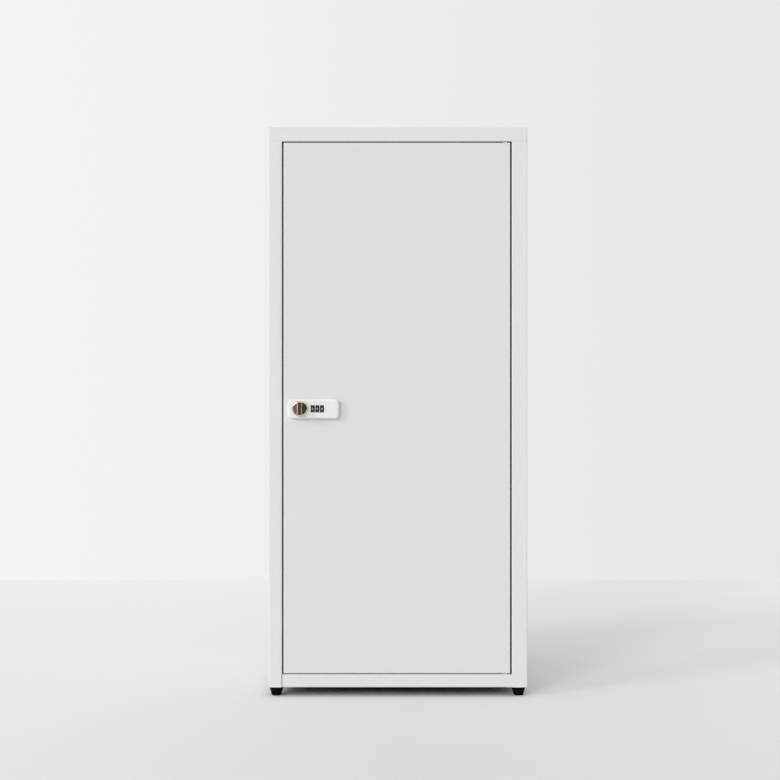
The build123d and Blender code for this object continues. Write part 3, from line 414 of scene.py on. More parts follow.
def noise_at(finish, grain_mm, detail=2.0, stretch=(1, 1, 1)):
    """Noise whose blotches are about grain_mm across, on Object coordinates."""
    node_tree = finish.node_tree
    where = node_tree.nodes.new("ShaderNodeTexCoord")
    scaled = node_tree.nodes.new("ShaderNodeMapping")
    scaled.inputs["Scale"].default_value = stretch
    noise = node_tree.nodes.new("ShaderNodeTexNoise")
    noise.inputs["Scale"].default_value = 1 / (grain_mm * MM)
    noise.inputs["Detail"].default_value = detail
    node_tree.links.new(where.outputs["Object"], scaled.inputs["Vector"])
    node_tree.links.new(scaled.outputs["Vector"], noise.inputs["Vector"])
    return noise


def vary_tone(finish, dark, light, grain_mm, **noise_options):
    """Base colour that drifts between two tones with a noise."""
    node_tree = finish.node_tree
    tones = node_tree.nodes.new("ShaderNodeValToRGB")
    for stop, colour, place in zip(tones.color_ramp.elements, (dark, light), NOISE_SPAN):
        stop.color = (*colour, 1)
        stop.position = place
    noise = noise_at(finish, grain_mm, **noise_options)
    shader = node_tree.nodes["Principled BSDF"]
    node_tree.links.new(noise.outputs["Fac"], tones.inputs["Fac"])
    node_tree.links.new(tones.outputs["Color"], shader.inputs["Base Color"])


def vary_gloss(finish, low, high, grain_mm, **noise_options):
    """Roughness that drifts between a low and a high value with a noise."""
    node_tree = finish.node_tree
    spread = node_tree.nodes.new("ShaderNodeMapRange")
    limits = dict(zip(("From Min", "From Max"), NOISE_SPAN)) | {"To Min": low, "To Max": high}
    for socket, value in limits.items():
        spread.inputs[socket].default_value = value
    noise = noise_at(finish, grain_mm, **noise_options)
    shader = node_tree.nodes["Principled BSDF"]
    node_tree.links.new(noise.outputs["Fac"], spread.inputs["Value"])
    node_tree.links.new(spread.outputs["Result"], shader.inputs["Roughness"])


def add_grain(finish, grain_mm, depth_mm, **noise_options):
    """Bump of a given depth whose hills are about grain_mm apart."""
    node_tree = finish.node_tree
    bump = node_tree.nodes.new("ShaderNodeBump")
    bump.inputs["Distance"].default_value = depth_mm * MM
    noise = noise_at(finish, grain_mm, **noise_options)
    shader = node_tree.nodes["Principled BSDF"]
    node_tree.links.new(noise.outputs["Fac"], bump.inputs["Height"])
    node_tree.links.new(bump.outputs["Normal"], shader.inputs["Normal"])


print("finish helpers ready")

# %% [markdown]
# The sheet steel has a satin powder coat. The powder melts into a skin with a fine orange
# peel, about two millimetres from hill to hill and a few hundredths of a millimetre deep.
# The door was coated apart from the frame, and came out a touch cooler and darker.

# %% Powder coat of the frame and of the door
def powder_coat(name, dark, light, patch_mm):
    """Satin powder coat whose tone drifts between two whites over patches of a given size."""
    coat = new_finish(name, light, 0.55, Specular_IOR_Level=0.25)
    vary_tone(coat, dark, light, patch_mm)
    vary_gloss(coat, 0.54, 0.58, 25.0)
    add_grain(coat, 2.2, 0.02, detail=1.0)
    return coat


FRAME_WHITES = (0.793, 0.795, 0.785), (0.803, 0.805, 0.796)
frame_coat = powder_coat("frame_coat", *FRAME_WHITES, 90.0)
rail_coat = powder_coat("rail_coat", *FRAME_WHITES, 90.0)
door_coat = powder_coat("door_coat", (0.768, 0.771, 0.774), (0.776, 0.779, 0.782), 120.0)
print("coats:", frame_coat.name, rail_coat.name, door_coat.name)

# %% [markdown]
# Two sheets that lie edge to edge leave a hairline gap, and shade falls into it. That shade is
# painted into the coat as a dark band in the coat's colour at the place of the joint. The
# underside of the floor tray lies in deep shade under the locker, and that shade is painted in
# as a nearly black tint.


# %% Painted shade in the joints between sheets and under the locker
def band_mask(finish, axis, start_mm, end_mm, soft_mm):
    """Output that is 1 between two places on an axis and falls to 0 over a soft edge."""
    node_tree = finish.node_tree
    middle, half = (start_mm + end_mm) / 2 * MM, (end_mm - start_mm) / 2 * MM
    away = combine(node_tree, "SUBTRACT", place_along(node_tree, axis), middle)
    distance = combine(node_tree, "ABSOLUTE", away)
    return blend(node_tree, distance, half + soft_mm * MM, half)


def tint_where(finish, masks, tint):
    """Multiplies the base colour by a tint where every mask is 1."""
    node_tree = finish.node_tree
    everywhere = masks[0]
    for mask in masks[1:]:
        everywhere = combine(node_tree, "MULTIPLY", everywhere, mask)
    base = node_tree.nodes["Principled BSDF"].inputs["Base Color"]
    tinted = colour_between(node_tree, everywhere, base.links[0].from_socket, tint, "MULTIPLY")
    node_tree.links.new(tinted, base)


TOP_RAIL = 22.0
LATCH_STILE = 20.5
# The next two tints are painted shade in the joints between sheets.
SEAM_SHADE_TINT = (0.955, 0.955, 0.95)
STILE_SEAM_SHADE_TINT = (0.84, 0.84, 0.83)
# The tint below is painted shade under the locker, nearly black.
UNDERSIDE_SHADE_TINT = (0.08, 0.07, 0.06)
front_mm = FRONT_Y / MM
seam_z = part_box("top_panel")[1].z / MM - TOP_RAIL
floor_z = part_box("bottom_panel")[1].z / MM
back_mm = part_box("bottom_panel")[1].y / MM
stile_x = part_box("left_side_panel")[0].x / MM + LATCH_STILE

# Painted shade: a dark band where the top rail's sheet meets the side sheets.
at_seam = band_mask(frame_coat, "Z", seam_z - 0.2, seam_z + 1.6, 0.8)
tint_where(frame_coat, [at_seam], SEAM_SHADE_TINT)
# Painted shade: a dark band in the hairline gap where the bottom rail meets the latch stile.
for coat in (frame_coat, rail_coat):
    beside_stile = band_mask(coat, "X", stile_x - 0.6, stile_x + 1.9, 0.8)
    below_floor = band_mask(coat, "Z", 0, floor_z, 0.2)
    at_front = band_mask(coat, "Y", front_mm - 2, front_mm + 2, 0.5)
    tint_where(coat, [beside_stile, below_floor, at_front], STILE_SEAM_SHADE_TINT)
# Painted shade: the underside of the bottom panel, seen through the slit under the locker, is
# tinted nearly black.
behind_rail = band_mask(rail_coat, "Y", front_mm + 4, back_mm + 30, 2)
below_floor = band_mask(rail_coat, "Z", 0, floor_z - 0.5, 0.1)
tint_where(rail_coat, [behind_rail, below_floor], UNDERSIDE_SHADE_TINT)
print("seam at", round(seam_z, 1), "mm, floor of the locker at", round(floor_z, 1), "mm")

# %% [markdown]
# The lock's front is a zinc casting under a smooth white lacquer, brighter and glossier than
# the coat round it. The knob is chrome plated, its cam and screws are zinc plated, and the
# inside of the lock holds brass discs and spring steel.

# %% Lacquer and plated metals
lock_lacquer = new_finish(
    "lock_lacquer", (0.905, 0.89, 0.878), 0.28, Coat_Weight=0.3, Coat_Roughness=0.12
)
vary_tone(lock_lacquer, (0.898, 0.882, 0.868), (0.912, 0.9, 0.888), 20.0)
add_grain(lock_lacquer, 1.2, 0.006, detail=1.0)

knob_chrome = new_finish("knob_chrome", (0.70, 0.66, 0.63), 0.10, metallic=1.0)
vary_gloss(knob_chrome, 0.09, 0.12, 3.0)
add_grain(knob_chrome, 0.8, 0.0008, detail=1.0)

zinc_plate = new_finish("zinc_plate", (0.62, 0.63, 0.65), 0.3, metallic=1.0)
vary_tone(zinc_plate, (0.56, 0.57, 0.58), (0.68, 0.69, 0.71), 4.0)
vary_gloss(zinc_plate, 0.24, 0.4, 1.5)
add_grain(zinc_plate, 0.7, 0.004)

brushed_zinc = new_finish("brushed_zinc", (0.6, 0.61, 0.62), 0.34, metallic=1.0)
vary_tone(brushed_zinc, (0.55, 0.55, 0.56), (0.66, 0.67, 0.68), 1.2, stretch=(1, 1, 0.06))
vary_gloss(brushed_zinc, 0.28, 0.42, 0.5, stretch=(1, 1, 0.05))
add_grain(brushed_zinc, 0.35, 0.004, stretch=(1, 1, 0.04))

code_brass = new_finish("code_brass", (0.74, 0.56, 0.27), 0.3, metallic=1.0)
vary_tone(code_brass, (0.66, 0.48, 0.21), (0.79, 0.62, 0.33), 3.0)
add_grain(code_brass, 0.4, 0.003)

blue_spring = new_finish("spring_steel", (0.33, 0.34, 0.37), 0.28, metallic=1.0)
vary_tone(blue_spring, (0.27, 0.28, 0.31), (0.4, 0.41, 0.44), 2.0)
add_grain(blue_spring, 0.4, 0.003)
print("metals ready")

# %% [markdown]
# The feet, the wheels and the cover behind the lock are moulded in black plastic. The feet
# and the cover have the fine spark-eroded grain of a matt mould, the wheels are smoother.
# The bushes and the washer under the knob are natural nylon, and the buffers grey rubber.

# %% Plastics and rubber
foot_plastic = new_finish("foot_plastic", (0.004, 0.004, 0.0035), 0.6, Specular_IOR_Level=0.05)
vary_tone(foot_plastic, (0.003, 0.003, 0.0026), (0.005, 0.005, 0.0042), 3.0)
add_grain(foot_plastic, 0.5, 0.03)

cover_plastic = new_finish("cover_plastic", (0.018, 0.018, 0.019), 0.5)
vary_tone(cover_plastic, (0.014, 0.014, 0.015), (0.023, 0.023, 0.024), 6.0)
add_grain(cover_plastic, 0.4, 0.02)

wheel_plastic = new_finish("wheel_plastic", (0.006, 0.006, 0.006), 0.4, Specular_IOR_Level=0.25)
vary_gloss(wheel_plastic, 0.34, 0.48, 1.0)
add_grain(wheel_plastic, 0.4, 0.004)

digit_paint = new_finish("digit_paint", (0.76, 0.76, 0.75), 0.45)
add_grain(digit_paint, 0.3, 0.004)

bush_nylon = new_finish("bush_nylon", (0.78, 0.77, 0.73), 0.4, Subsurface_Weight=0.1)
vary_tone(bush_nylon, (0.75, 0.74, 0.70), (0.80, 0.79, 0.76), 2.0)
add_grain(bush_nylon, 0.5, 0.006)

buffer_rubber = new_finish("buffer_rubber", (0.16, 0.16, 0.165), 0.75)
vary_tone(buffer_rubber, (0.14, 0.14, 0.145), (0.18, 0.18, 0.185), 1.5)
add_grain(buffer_rubber, 0.3, 0.02)
print("plastics ready")

# %% [markdown]
# ## Dress the model's own pieces
#
# The folded panels, the shelves, the nuts and the inside of the lock already have their true
# shape in the model, so they only get their finish.


# %% Give the model's pieces their finishes
def dress(finish, *names):
    """Puts one finish on every material slot of the named pieces of the model."""
    for name in names:
        for slot in nodes[name].material_slots:
            slot.material = finish


dress(
    frame_coat, "left_side_panel", "right_side_panel", "top_panel", "back_panel",
    "upper_shelf", "lower_shelf", "upper_left_shelf_rail", "upper_right_shelf_rail",
    "lower_left_shelf_rail", "lower_right_shelf_rail", "upper_hinge_pin", "lower_hinge_pin",
)
dress(rail_coat, "bottom_panel")
dress(door_coat, "door_panel", "door_stiffener")
dress(lock_lacquer, "lock_housing")
dress(brushed_zinc, "cam_washer", "locking_slide")
dress(zinc_plate, "foot_nuts", "top_joint_nuts", "knob_spindle", "dial_axle")
dress(blue_spring, "detent_spring", "spindle_clip")
dress(code_brass, "code_discs")
dress(cover_plastic, "lock_rear_cover")
dress(bush_nylon, "upper_door_bush", "lower_door_bush")
print("dressed", sum(len(node.material_slots) > 0 for node in nodes.values()), "pieces")


# %% [markdown]
# ## Places taken from the model
#
# A new piece stands where its solid stands, so its centre and its size are read from that
# solid's box. A smooth step between 0 and 1 shapes grooves and recesses further on.


# %% Read the boxes of the solids in millimetres
def box_mm(name):
    """Lowest and highest corner of a solid of the model, in millimetres."""
    low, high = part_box(name)
    return np.array(low) / MM, np.array(high) / MM


def smooth_step(value):
    """0 below 0, 1 above 1, and 3 v^2 - 2 v^3 between."""
    value = np.clip(value, 0, 1)
    return value * value * (3 - 2 * value)


knob_low, knob_high = box_mm("knob")
knob_centre = (knob_low + knob_high) / 2
KNOB_RADIUS = (knob_high[0] - knob_low[0]) / 2
KNOB_HEIGHT = knob_high[1] - knob_low[1]
print("knob centre", np.round(knob_centre, 2), "radius", round(KNOB_RADIUS, 2))

# %% [markdown]
# ## The turn knob
#
# The knob is a round base, bowed a little from side to side, with an upright grip bar across
# it. Its height is worked out over the round outline as the higher of the two shapes, the bow
# and the bar, with a small fillet where they meet. The bar has a flat top and a chamfer along
# each side. The chamfers turn towards the bright walls and show as two thin white lines, and
# the bow mirrors the warm left and the dark right of the room.

# %% Shape of the knob's face
BOW_TOP = 4.9
BOW_RIM = 3.0
GRIP_TOP_HALF = 2.6
GRIP_CHAMFER = 1.3
GRIP_FOOT_HALF = 4.6
GRIP_FILLET = 1.0
RIM_EDGE = 2.1
RIM_TAPER = 0.65
FINE_FROM = 2.4
FINE_TO = 6.0
RIM_FROM = 11.2

grip_profile = rounded_profile(
    [
        (0, KNOB_HEIGHT),
        (GRIP_TOP_HALF, KNOB_HEIGHT),
        (GRIP_TOP_HALF + GRIP_CHAMFER, KNOB_HEIGHT - GRIP_CHAMFER),
        (GRIP_FOOT_HALF, 0),
    ],
    [0.35, 0.35],
    steps=6,
)
near_rim = KNOB_RADIUS - (KNOB_RADIUS - RIM_FROM) * np.cos(np.linspace(0, math.pi / 2, 8)) ** 2
steps_across = np.concatenate(
    [
        np.linspace(0, FINE_FROM, 4)[:-1],
        np.linspace(FINE_FROM, FINE_TO, 40)[:-1],
        np.linspace(FINE_TO, RIM_FROM, 12)[:-1],
        near_rim,
    ]
)
steps_across = np.concatenate([-steps_across[:0:-1], steps_across])
print("sections across the knob:", len(steps_across))


# %% Carry the section along the knob
def knob_points(x, radius, centre, back_y):
    """Grid of the knob: one closed loop of points for each distance x across the bar.

    The bow at distance x is its top less its fall times (x / radius) squared. Two heights a
    and b join with a fillet k as max(a, b) + max(0, 1 - |a - b| / k)^2 * k / 4. Within the
    rim's edge the face drops like a quarter circle, then the loop goes down the side and
    back under the knob.
    """
    x = x[:, None]
    grip = np.interp(np.abs(x), grip_profile[:, 0], grip_profile[:, 1])
    rim = radius - RIM_TAPER * grip / KNOB_HEIGHT
    x = np.clip(x, -rim, rim)
    half_length = np.sqrt(np.clip(rim**2 - x**2, 0, None))
    z = np.sin(np.linspace(-math.pi / 2, math.pi / 2, 49))[None, :] * half_length
    from_middle = np.hypot(x, z)
    bow = BOW_TOP - (BOW_TOP - BOW_RIM) * (x / radius) ** 2
    fillet = np.clip(1 - np.abs(grip - bow) / GRIP_FILLET, 0, None) ** 2 * GRIP_FILLET / 4
    into_edge = np.clip(from_middle - (rim - RIM_EDGE), 0, RIM_EDGE)
    height = np.maximum(grip, bow) + fillet
    height = np.minimum(height, KNOB_HEIGHT) - RIM_EDGE + np.sqrt(RIM_EDGE**2 - into_edge**2)
    foot_half = np.sqrt(np.clip(radius**2 - x**2, 0, None))
    down = np.linspace(0, 1, 6)[1:][None, :]
    side_z = half_length + (foot_half - half_length) * down
    side_height = height[:, -1:] * (1 - down)
    under = np.linspace(1, -1, 9)[None, 1:-1] * foot_half
    loop_z = np.concatenate([z, side_z, under, -side_z[:, ::-1]], axis=1)
    loop_height = np.concatenate([height, side_height, under * 0, side_height[:, ::-1]], axis=1)
    loop_x = np.broadcast_to(x, loop_z.shape)
    return np.stack([centre[0] + loop_x, back_y - loop_height, centre[2] + loop_z], axis=-1)


turn_knob = tidy_surface(
    surface_from_grid(
        "turn_knob",
        knob_points(steps_across, KNOB_RADIUS, knob_centre, knob_high[1]),
        close_columns=True,
    ),
    sharp_angle=60.0,
)
turn_knob.data.materials.append(knob_chrome)
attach(turn_knob, "knob")
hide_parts("knob")
print("turn_knob faces:", len(turn_knob.data.polygons))

# %% [markdown]
# ## The washer under the knob
#
# A thin nylon washer keeps the knob off the lacquer. It is a turned ring with rounded rims,
# and it stops a few hundredths of a millimetre above the plate that it slides on.

# %% Turn the washer
WASHER_BORE = 4.55
WASHER_LIFT = 0.03
washer_low, washer_high = box_mm("knob_washer")
washer_centre = (washer_low + washer_high) / 2
washer_radius = (washer_high[0] - washer_low[0]) / 2
washer_height = washer_high[1] - washer_low[1]
washer_profile = rounded_profile(
    [
        (WASHER_BORE, washer_height / 2),
        (WASHER_BORE, WASHER_LIFT),
        (washer_radius, WASHER_LIFT),
        (washer_radius, washer_height),
        (WASHER_BORE, washer_height),
        (WASHER_BORE, washer_height / 2),
    ],
    [0.05, 0.15, 0.05, 0.05],
    steps=4,
)
washer_ring = surface_from_grid(
    "washer_ring",
    turned_points(
        washer_profile * (1, -1), (washer_centre[0], washer_high[1], washer_centre[2]), axis="y"
    ),
    close_rows=True,
)
tidy_surface(washer_ring)
washer_ring.data.materials.append(bush_nylon)
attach(washer_ring, "knob")
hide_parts("knob_washer")
print("washer_ring faces:", len(washer_ring.data.polygons))

# %% [markdown]
# ## Number wheels
#
# Each wheel is a short drum with ten shallow grooves between its ten numbers, where the
# fingertip finds hold. The drum is a closed loop of points across the rim, carried round the
# axle, with the rim's radius a little smaller at each groove. The digits are flat lettering
# that is cut into thin bands and then wrapped round the drum, so that they follow its curve.

# %% Shape of one wheel
DIGITS = 10
GROOVE_DEPTH = 0.45
GROOVE_HALF_ANGLE = math.radians(3.4)
WHEEL_EDGE = 0.45
WHEEL_BORE = 3.45
BORE_EDGE = 0.3
DIGIT_HEIGHT = 3.6
DIGIT_PROUD = 0.04


def wheel_points(centre, radius, width, around=240):
    """Grid of a grooved drum whose axle runs along x.

    The loop across the rim has its outer corners rounded. At angle a its radius is less by
    the groove's depth times a hump that is 1 midway between two digits and 0 at the
    groove's edge.
    """
    half = width / 2
    corners = [(WHEEL_BORE, half), (radius, half), (radius, -half), (WHEEL_BORE, -half)]
    loop = rounded_profile(
        [(WHEEL_BORE, 0), *corners, (WHEEL_BORE, 0)],
        [BORE_EDGE, WHEEL_EDGE, WHEEL_EDGE, BORE_EDGE],
        steps=4,
    )[:-1]
    angle = np.linspace(0, 2 * math.pi, around, endpoint=False)[:, None]
    pitch = 2 * math.pi / DIGITS
    from_groove = np.abs((angle + pitch) % pitch - pitch / 2)
    hump = smooth_step(1 - from_groove / GROOVE_HALF_ANGLE)
    at_rim = np.clip((loop[:, 0][None, :] - (radius - 2 * WHEEL_EDGE)) / WHEEL_EDGE, 0, 1)
    reach = loop[:, 0][None, :] - GROOVE_DEPTH * hump * at_rim
    x = centre[0] + np.broadcast_to(loop[:, 1][None, :], reach.shape)
    y = centre[1] - reach * np.sin(angle + pitch / 2)
    z = centre[2] + reach * np.cos(angle + pitch / 2)
    return np.stack([x, y, z], axis=-1)


# %% [markdown]
# The font's outline becomes a mesh before it is placed. Each digit is cut along lines a few
# tenths of a millimetre apart, because a flat face that spans the whole digit would sink
# under the curve of the drum.


# %% Flat digits, cut into bands
def flat_digit(character, height):
    """Corner points (across, up) and faces of one digit, centred and cut into thin bands."""
    curve = bpy.data.curves.new("digit_outline", "FONT")
    curve.body = character
    curve.align_x, curve.align_y = "CENTER", "CENTER"
    curve.resolution_u = 3
    holder = bpy.data.objects.new("digit_outline", curve)
    bpy.context.scene.collection.objects.link(holder)
    bpy.context.view_layer.update()
    flat = bpy.data.meshes.new_from_object(
        holder.evaluated_get(bpy.context.evaluated_depsgraph_get())
    )
    work = bmesh.new()
    work.from_mesh(flat)
    low = min(vertex.co.y for vertex in work.verts)
    high = max(vertex.co.y for vertex in work.verts)
    for level in np.linspace(low, high, 12)[1:-1]:
        everything = work.verts[:] + work.edges[:] + work.faces[:]
        bmesh.ops.bisect_plane(work, geom=everything, plane_co=(0, level, 0), plane_no=(0, 1, 0))
    bmesh.ops.triangulate(work, faces=work.faces)
    corners = np.array([vertex.co[:2] for vertex in work.verts])
    middle = (corners.min(0) + corners.max(0)) / 2
    faces = [[vertex.index for vertex in face.verts] for face in work.faces]
    work.free()
    bpy.data.objects.remove(holder)
    bpy.data.meshes.remove(flat)
    return (corners - middle) * height / (high - low), faces


digit_shapes = [flat_digit(str(number), DIGIT_HEIGHT) for number in range(DIGITS)]
print("corner points in the digits:", [len(shape[0]) for shape in digit_shapes])


# %% Wrap the ten digits round a wheel
def wrapped_digits(name, centre, radius):
    """Mesh of ten digits round the drum: up on the flat digit becomes an angle of up / radius."""
    points, faces, done = [], [], 0
    for place, (corners, triangles) in enumerate(digit_shapes):
        angle = place * 2 * math.pi / DIGITS + corners[:, 1] / radius
        across = centre[0] + corners[:, 0]
        front, up = centre[1] - radius * np.cos(angle), centre[2] + radius * np.sin(angle)
        points.append(np.stack([across, front, up], axis=-1))
        faces += [[corner + done for corner in triangle] for triangle in triangles]
        done += len(corners)
    mesh = bpy.data.meshes.new(name)
    mesh.from_pydata((np.concatenate(points) * MM).tolist(), [], faces)
    mesh.update()
    piece = bpy.data.objects.new(name, mesh)
    bpy.context.scene.collection.objects.link(piece)
    return piece


for number in (1, 2, 3):
    wheel_low, wheel_high = box_mm(f"dial_wheel_{number}")
    wheel_centre = (wheel_low + wheel_high) / 2
    wheel_radius = (wheel_high[2] - wheel_low[2]) / 2
    wheel = tidy_surface(
        surface_from_grid(
            f"number_wheel_{number}",
            wheel_points(wheel_centre, wheel_radius, wheel_high[0] - wheel_low[0]),
            close_rows=True,
            close_columns=True,
        ),
        sharp_angle=50.0,
    )
    wheel.data.materials.append(wheel_plastic)
    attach(wheel, f"dial_{number}")
    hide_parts(f"dial_wheel_{number}")
    digits = wrapped_digits(f"wheel_digits_{number}", wheel_centre, wheel_radius + DIGIT_PROUD)
    digits.data.materials.append(digit_paint)
    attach(digits, f"dial_{number}")
print("wheel faces:", len(wheel.data.polygons), "digit faces:", len(digits.data.polygons))

# %% [markdown]
# ## Feet
#
# Each foot is a turned plastic cone, narrow end down, with a recess underneath for the head
# of its screw. One closed profile with rounded corners, carried round the foot's axis, gives
# the whole foot, and its small shoulder under the steel.

# %% Turn the four feet
FOOT_TOP_RADIUS = 11.0
FOOT_BOTTOM_RADIUS = 7.2
FOOT_SHIFT = -0.8
FOOT_RECESS_RADIUS = 4.4
FOOT_RECESS_DEPTH = 7.0
FOOT_HOLE_RADIUS = 2.7
FOOT_SHOULDER = 1.2

foot_names = ["front_left_foot", "front_right_foot", "rear_left_foot", "rear_right_foot"]
for foot_name in foot_names:
    foot_low, foot_high = box_mm(foot_name)
    foot_centre = (foot_low + foot_high) / 2
    foot_profile = rounded_profile(
        [
            (FOOT_HOLE_RADIUS, FOOT_RECESS_DEPTH),
            (FOOT_RECESS_RADIUS, FOOT_RECESS_DEPTH),
            (FOOT_RECESS_RADIUS, 0),
            (FOOT_BOTTOM_RADIUS, 0),
            (FOOT_TOP_RADIUS, foot_high[2] - FOOT_SHOULDER),
            (FOOT_TOP_RADIUS, foot_high[2]),
            (FOOT_HOLE_RADIUS, foot_high[2]),
            (FOOT_HOLE_RADIUS, FOOT_RECESS_DEPTH),
        ],
        [0.3, 0.4, 1.3, 0.5, 0.3, 0.1],
    )
    foot_points = turned_points(foot_profile, (foot_centre[0] + FOOT_SHIFT, foot_centre[1], 0))
    foot = surface_from_grid(foot_name.replace("_foot", "_foot_cone"), foot_points, close_rows=True)
    tidy_surface(foot)
    foot.data.materials.append(foot_plastic)
    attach(foot, "cabinet")
    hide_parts(foot_name)
print("feet:", len(foot_names), "faces each:", len(foot.data.polygons))

# %% [markdown]
# ## The filled joint in the bottom rail
#
# The rail meets the hinge stile beside a rounded fold, which leaves a small groove. At the
# latch side it shows as a hairline. At the hinge side the groove is filled and coated over,
# so a small block of filler lies in it, a few hundredths of a millimetre below the steel.


# %% Fill the joint beside the hinge stile
def block_points(low, high):
    """Grid of a block: a pole, the square ring at the low end, the ring at the high end, a pole."""
    low, high = np.asarray(low, float), np.asarray(high, float)
    ring_x = np.array([low[0], high[0], high[0], low[0]])
    ring_y = np.array([low[1], low[1], high[1], high[1]])
    middle = (low + high) / 2
    rings = [
        (np.full(4, middle[0]), np.full(4, middle[1]), low[2]),
        (ring_x, ring_y, low[2]),
        (ring_x, ring_y, high[2]),
        (np.full(4, middle[0]), np.full(4, middle[1]), high[2]),
    ]
    return np.stack([np.stack([x, y, np.full(4, z)], axis=-1) for x, y, z in rings])


HINGE_STILE = 24.0
FILLER_INTO_STILE = 0.6
FILLER_REACH = 1.9
FILLER_BELOW = 0.03
FILLER_DEPTH = 0.75
FILLER_END_GAP = 0.9
fold_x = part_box("right_side_panel")[1].x / MM - HINGE_STILE
rail_low_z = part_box("bottom_panel")[0].z / MM
joint_filler = tidy_surface(
    surface_from_grid(
        "rail_joint_filler",
        block_points(
            (fold_x - FILLER_INTO_STILE, front_mm + FILLER_BELOW, rail_low_z + FILLER_END_GAP),
            (fold_x + FILLER_REACH, front_mm + FILLER_DEPTH, floor_z - FILLER_END_GAP),
        ),
        close_columns=True,
    )
)
joint_filler.data.materials.append(frame_coat)
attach(joint_filler, "cabinet")
print("filler at x", round(fold_x, 1), "mm")

# %% [markdown]
# ## Screws
#
# The lock, the feet and the top joint are held by pan head screws with a cross recess. Seen
# from its axis a head is a grid of rings: fine rings over the recess, then the rounded edge,
# the flat seat and the plain shank that the nut or the post hides. The recess is a dip in the
# rings' height, shaped as two crossing arms with sloping walls.


# %% Pan head screws with a cross recess
def points_from_seat(seat, outwards, across, up, along):
    """Points at across, up and along an axis that starts at the seat and points outwards."""
    outwards = np.asarray(outwards, float)
    side = np.array([1.0, 0, 0])
    other = np.cross(outwards, side)
    offsets = across[..., None] * side + up[..., None] * other + along[..., None] * outwards
    return np.asarray(seat, float) + offsets


def pan_screw_points(seat, outwards, head_radius, head_height, shank_radius, shank_length):
    """Grid of one screw. An arm of the recess is 1 where |a| is well under its half width and
    |b| well under its reach, and the recess is the deeper of the two arms at each point."""
    reach, half_width = head_radius * 0.62, head_radius * 0.2
    outline = rounded_profile(
        [
            (reach, head_height),
            (head_radius * 0.9, head_height * 0.9),
            (head_radius, head_height * 0.45),
            (head_radius, 0),
            (shank_radius, 0),
            (shank_radius, -shank_length),
            (0, -shank_length),
        ],
        [head_radius * 0.35, head_radius * 0.2, 0.08, 0.08, 0.2],
        steps=4,
    )
    inner = np.linspace(0, reach, 20)[:-1]
    radius = np.concatenate([inner, outline[:, 0]])[:, None]
    along = np.concatenate([np.full(inner.shape, head_height), outline[:, 1]])[:, None]
    angle = np.linspace(0, 2 * math.pi, 72, endpoint=False)[None, :]
    across, up = radius * np.cos(angle), radius * np.sin(angle)
    arms = [
        smooth_step((half_width - np.abs(a)) / (half_width * 0.6) + 0.3)
        * smooth_step((reach - np.abs(b)) / (reach * 0.3))
        for a, b in ((across, up), (up, across))
    ]
    on_head = along > head_height * 0.8
    dip = np.maximum(*arms) * head_height * 0.6 * on_head
    return points_from_seat(seat, outwards, across, up, along - dip)


def make_screws(name, grids, node, body, finish):
    """One piece of a stack of screws that stands for a node of the model."""
    screws = surface_from_grid(name, np.stack(grids), close_columns=True)
    tidy_surface(screws, sharp_angle=40.0)
    screws.data.materials.append(finish)
    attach(screws, body)
    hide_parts(node)
    print(name, "faces:", len(screws.data.polygons))


# %% Place the screws where the model has them
# The radius and height of the head, and the radius of the shank.
LOCK_SCREW = (2.5, 1.6, 1.2)
JOINT_SCREW = (3.6, 2.2, 2.0)
FOOT_SCREW = (3.9, 2.8, 2.5)

low, high = box_mm("lock_screws")
head_radius, head_height, _ = LOCK_SCREW
seat_y, middle_z = high[1] - head_height, (low[2] + high[2]) / 2
lock_grids = [
    pan_screw_points((x, seat_y, middle_z), (0, 1, 0), *LOCK_SCREW, seat_y - low[1])
    for x in (low[0] + head_radius, high[0] - head_radius)
]
make_screws("lock_pan_screws", lock_grids, "lock_screws", "door", zinc_plate)

for name, node, screw in (
    ("joint_pan_screws", "top_joint_screws", JOINT_SCREW),
    ("foot_pan_screws", "foot_screws", FOOT_SCREW),
):
    low, high = box_mm(node)
    head_radius, head_height, _ = screw
    seat_z = low[2] + head_height
    grids = [
        pan_screw_points((x, y, seat_z), (0, 0, -1), *screw, high[2] - seat_z)
        for x in (low[0] + head_radius, high[0] - head_radius)
        for y in (low[1] + head_radius, high[1] - head_radius)
    ]
    make_screws(name, grids, node, "cabinet", zinc_plate)

# %% [markdown]
# The screw that holds the cam has a hexagonal head. Its outline at angle a is the flat's
# distance divided by the cosine of the angle from the middle of the nearest flat, and its
# corners are turned off by a shallow cone.

# %% Hexagonal screw of the cam
HEX_SHANK_RADIUS = 1.9
HEX_HEAD_HEIGHT = 3.0
HEX_CONE_START = 0.93
HEX_CONE_SLOPE = math.tan(math.radians(30))
hex_low, hex_high = box_mm("cam_screw")
hex_centre = (hex_low + hex_high) / 2
hex_flat = (hex_high[2] - hex_low[2]) / 2
hex_seat_y = hex_high[1] - HEX_HEAD_HEIGHT
angle = np.linspace(0, 2 * math.pi, 144, endpoint=False)[None, :]
outline = hex_flat / np.cos(angle % (math.pi / 3) - math.pi / 6)
share = np.concatenate([[0, 0.5], np.linspace(0.8, 1, 10)])[:, None]
top_radius = share * outline
into_cone = np.clip(top_radius - HEX_CONE_START * hex_flat, 0, None)
top_height = HEX_HEAD_HEIGHT - into_cone * HEX_CONE_SLOPE
flat_ring = np.zeros(outline.shape)
shank_ring = flat_ring + HEX_SHANK_RADIUS
shank_end = flat_ring + hex_low[1] - hex_seat_y
radius = np.concatenate([top_radius, outline, shank_ring, shank_ring, flat_ring])
height = np.concatenate([top_height, flat_ring, flat_ring, shank_end, shank_end])
hex_grid = points_from_seat(
    (hex_centre[0], hex_seat_y, hex_centre[2]),
    (0, 1, 0),
    radius * np.cos(angle),
    radius * np.sin(angle),
    height,
)
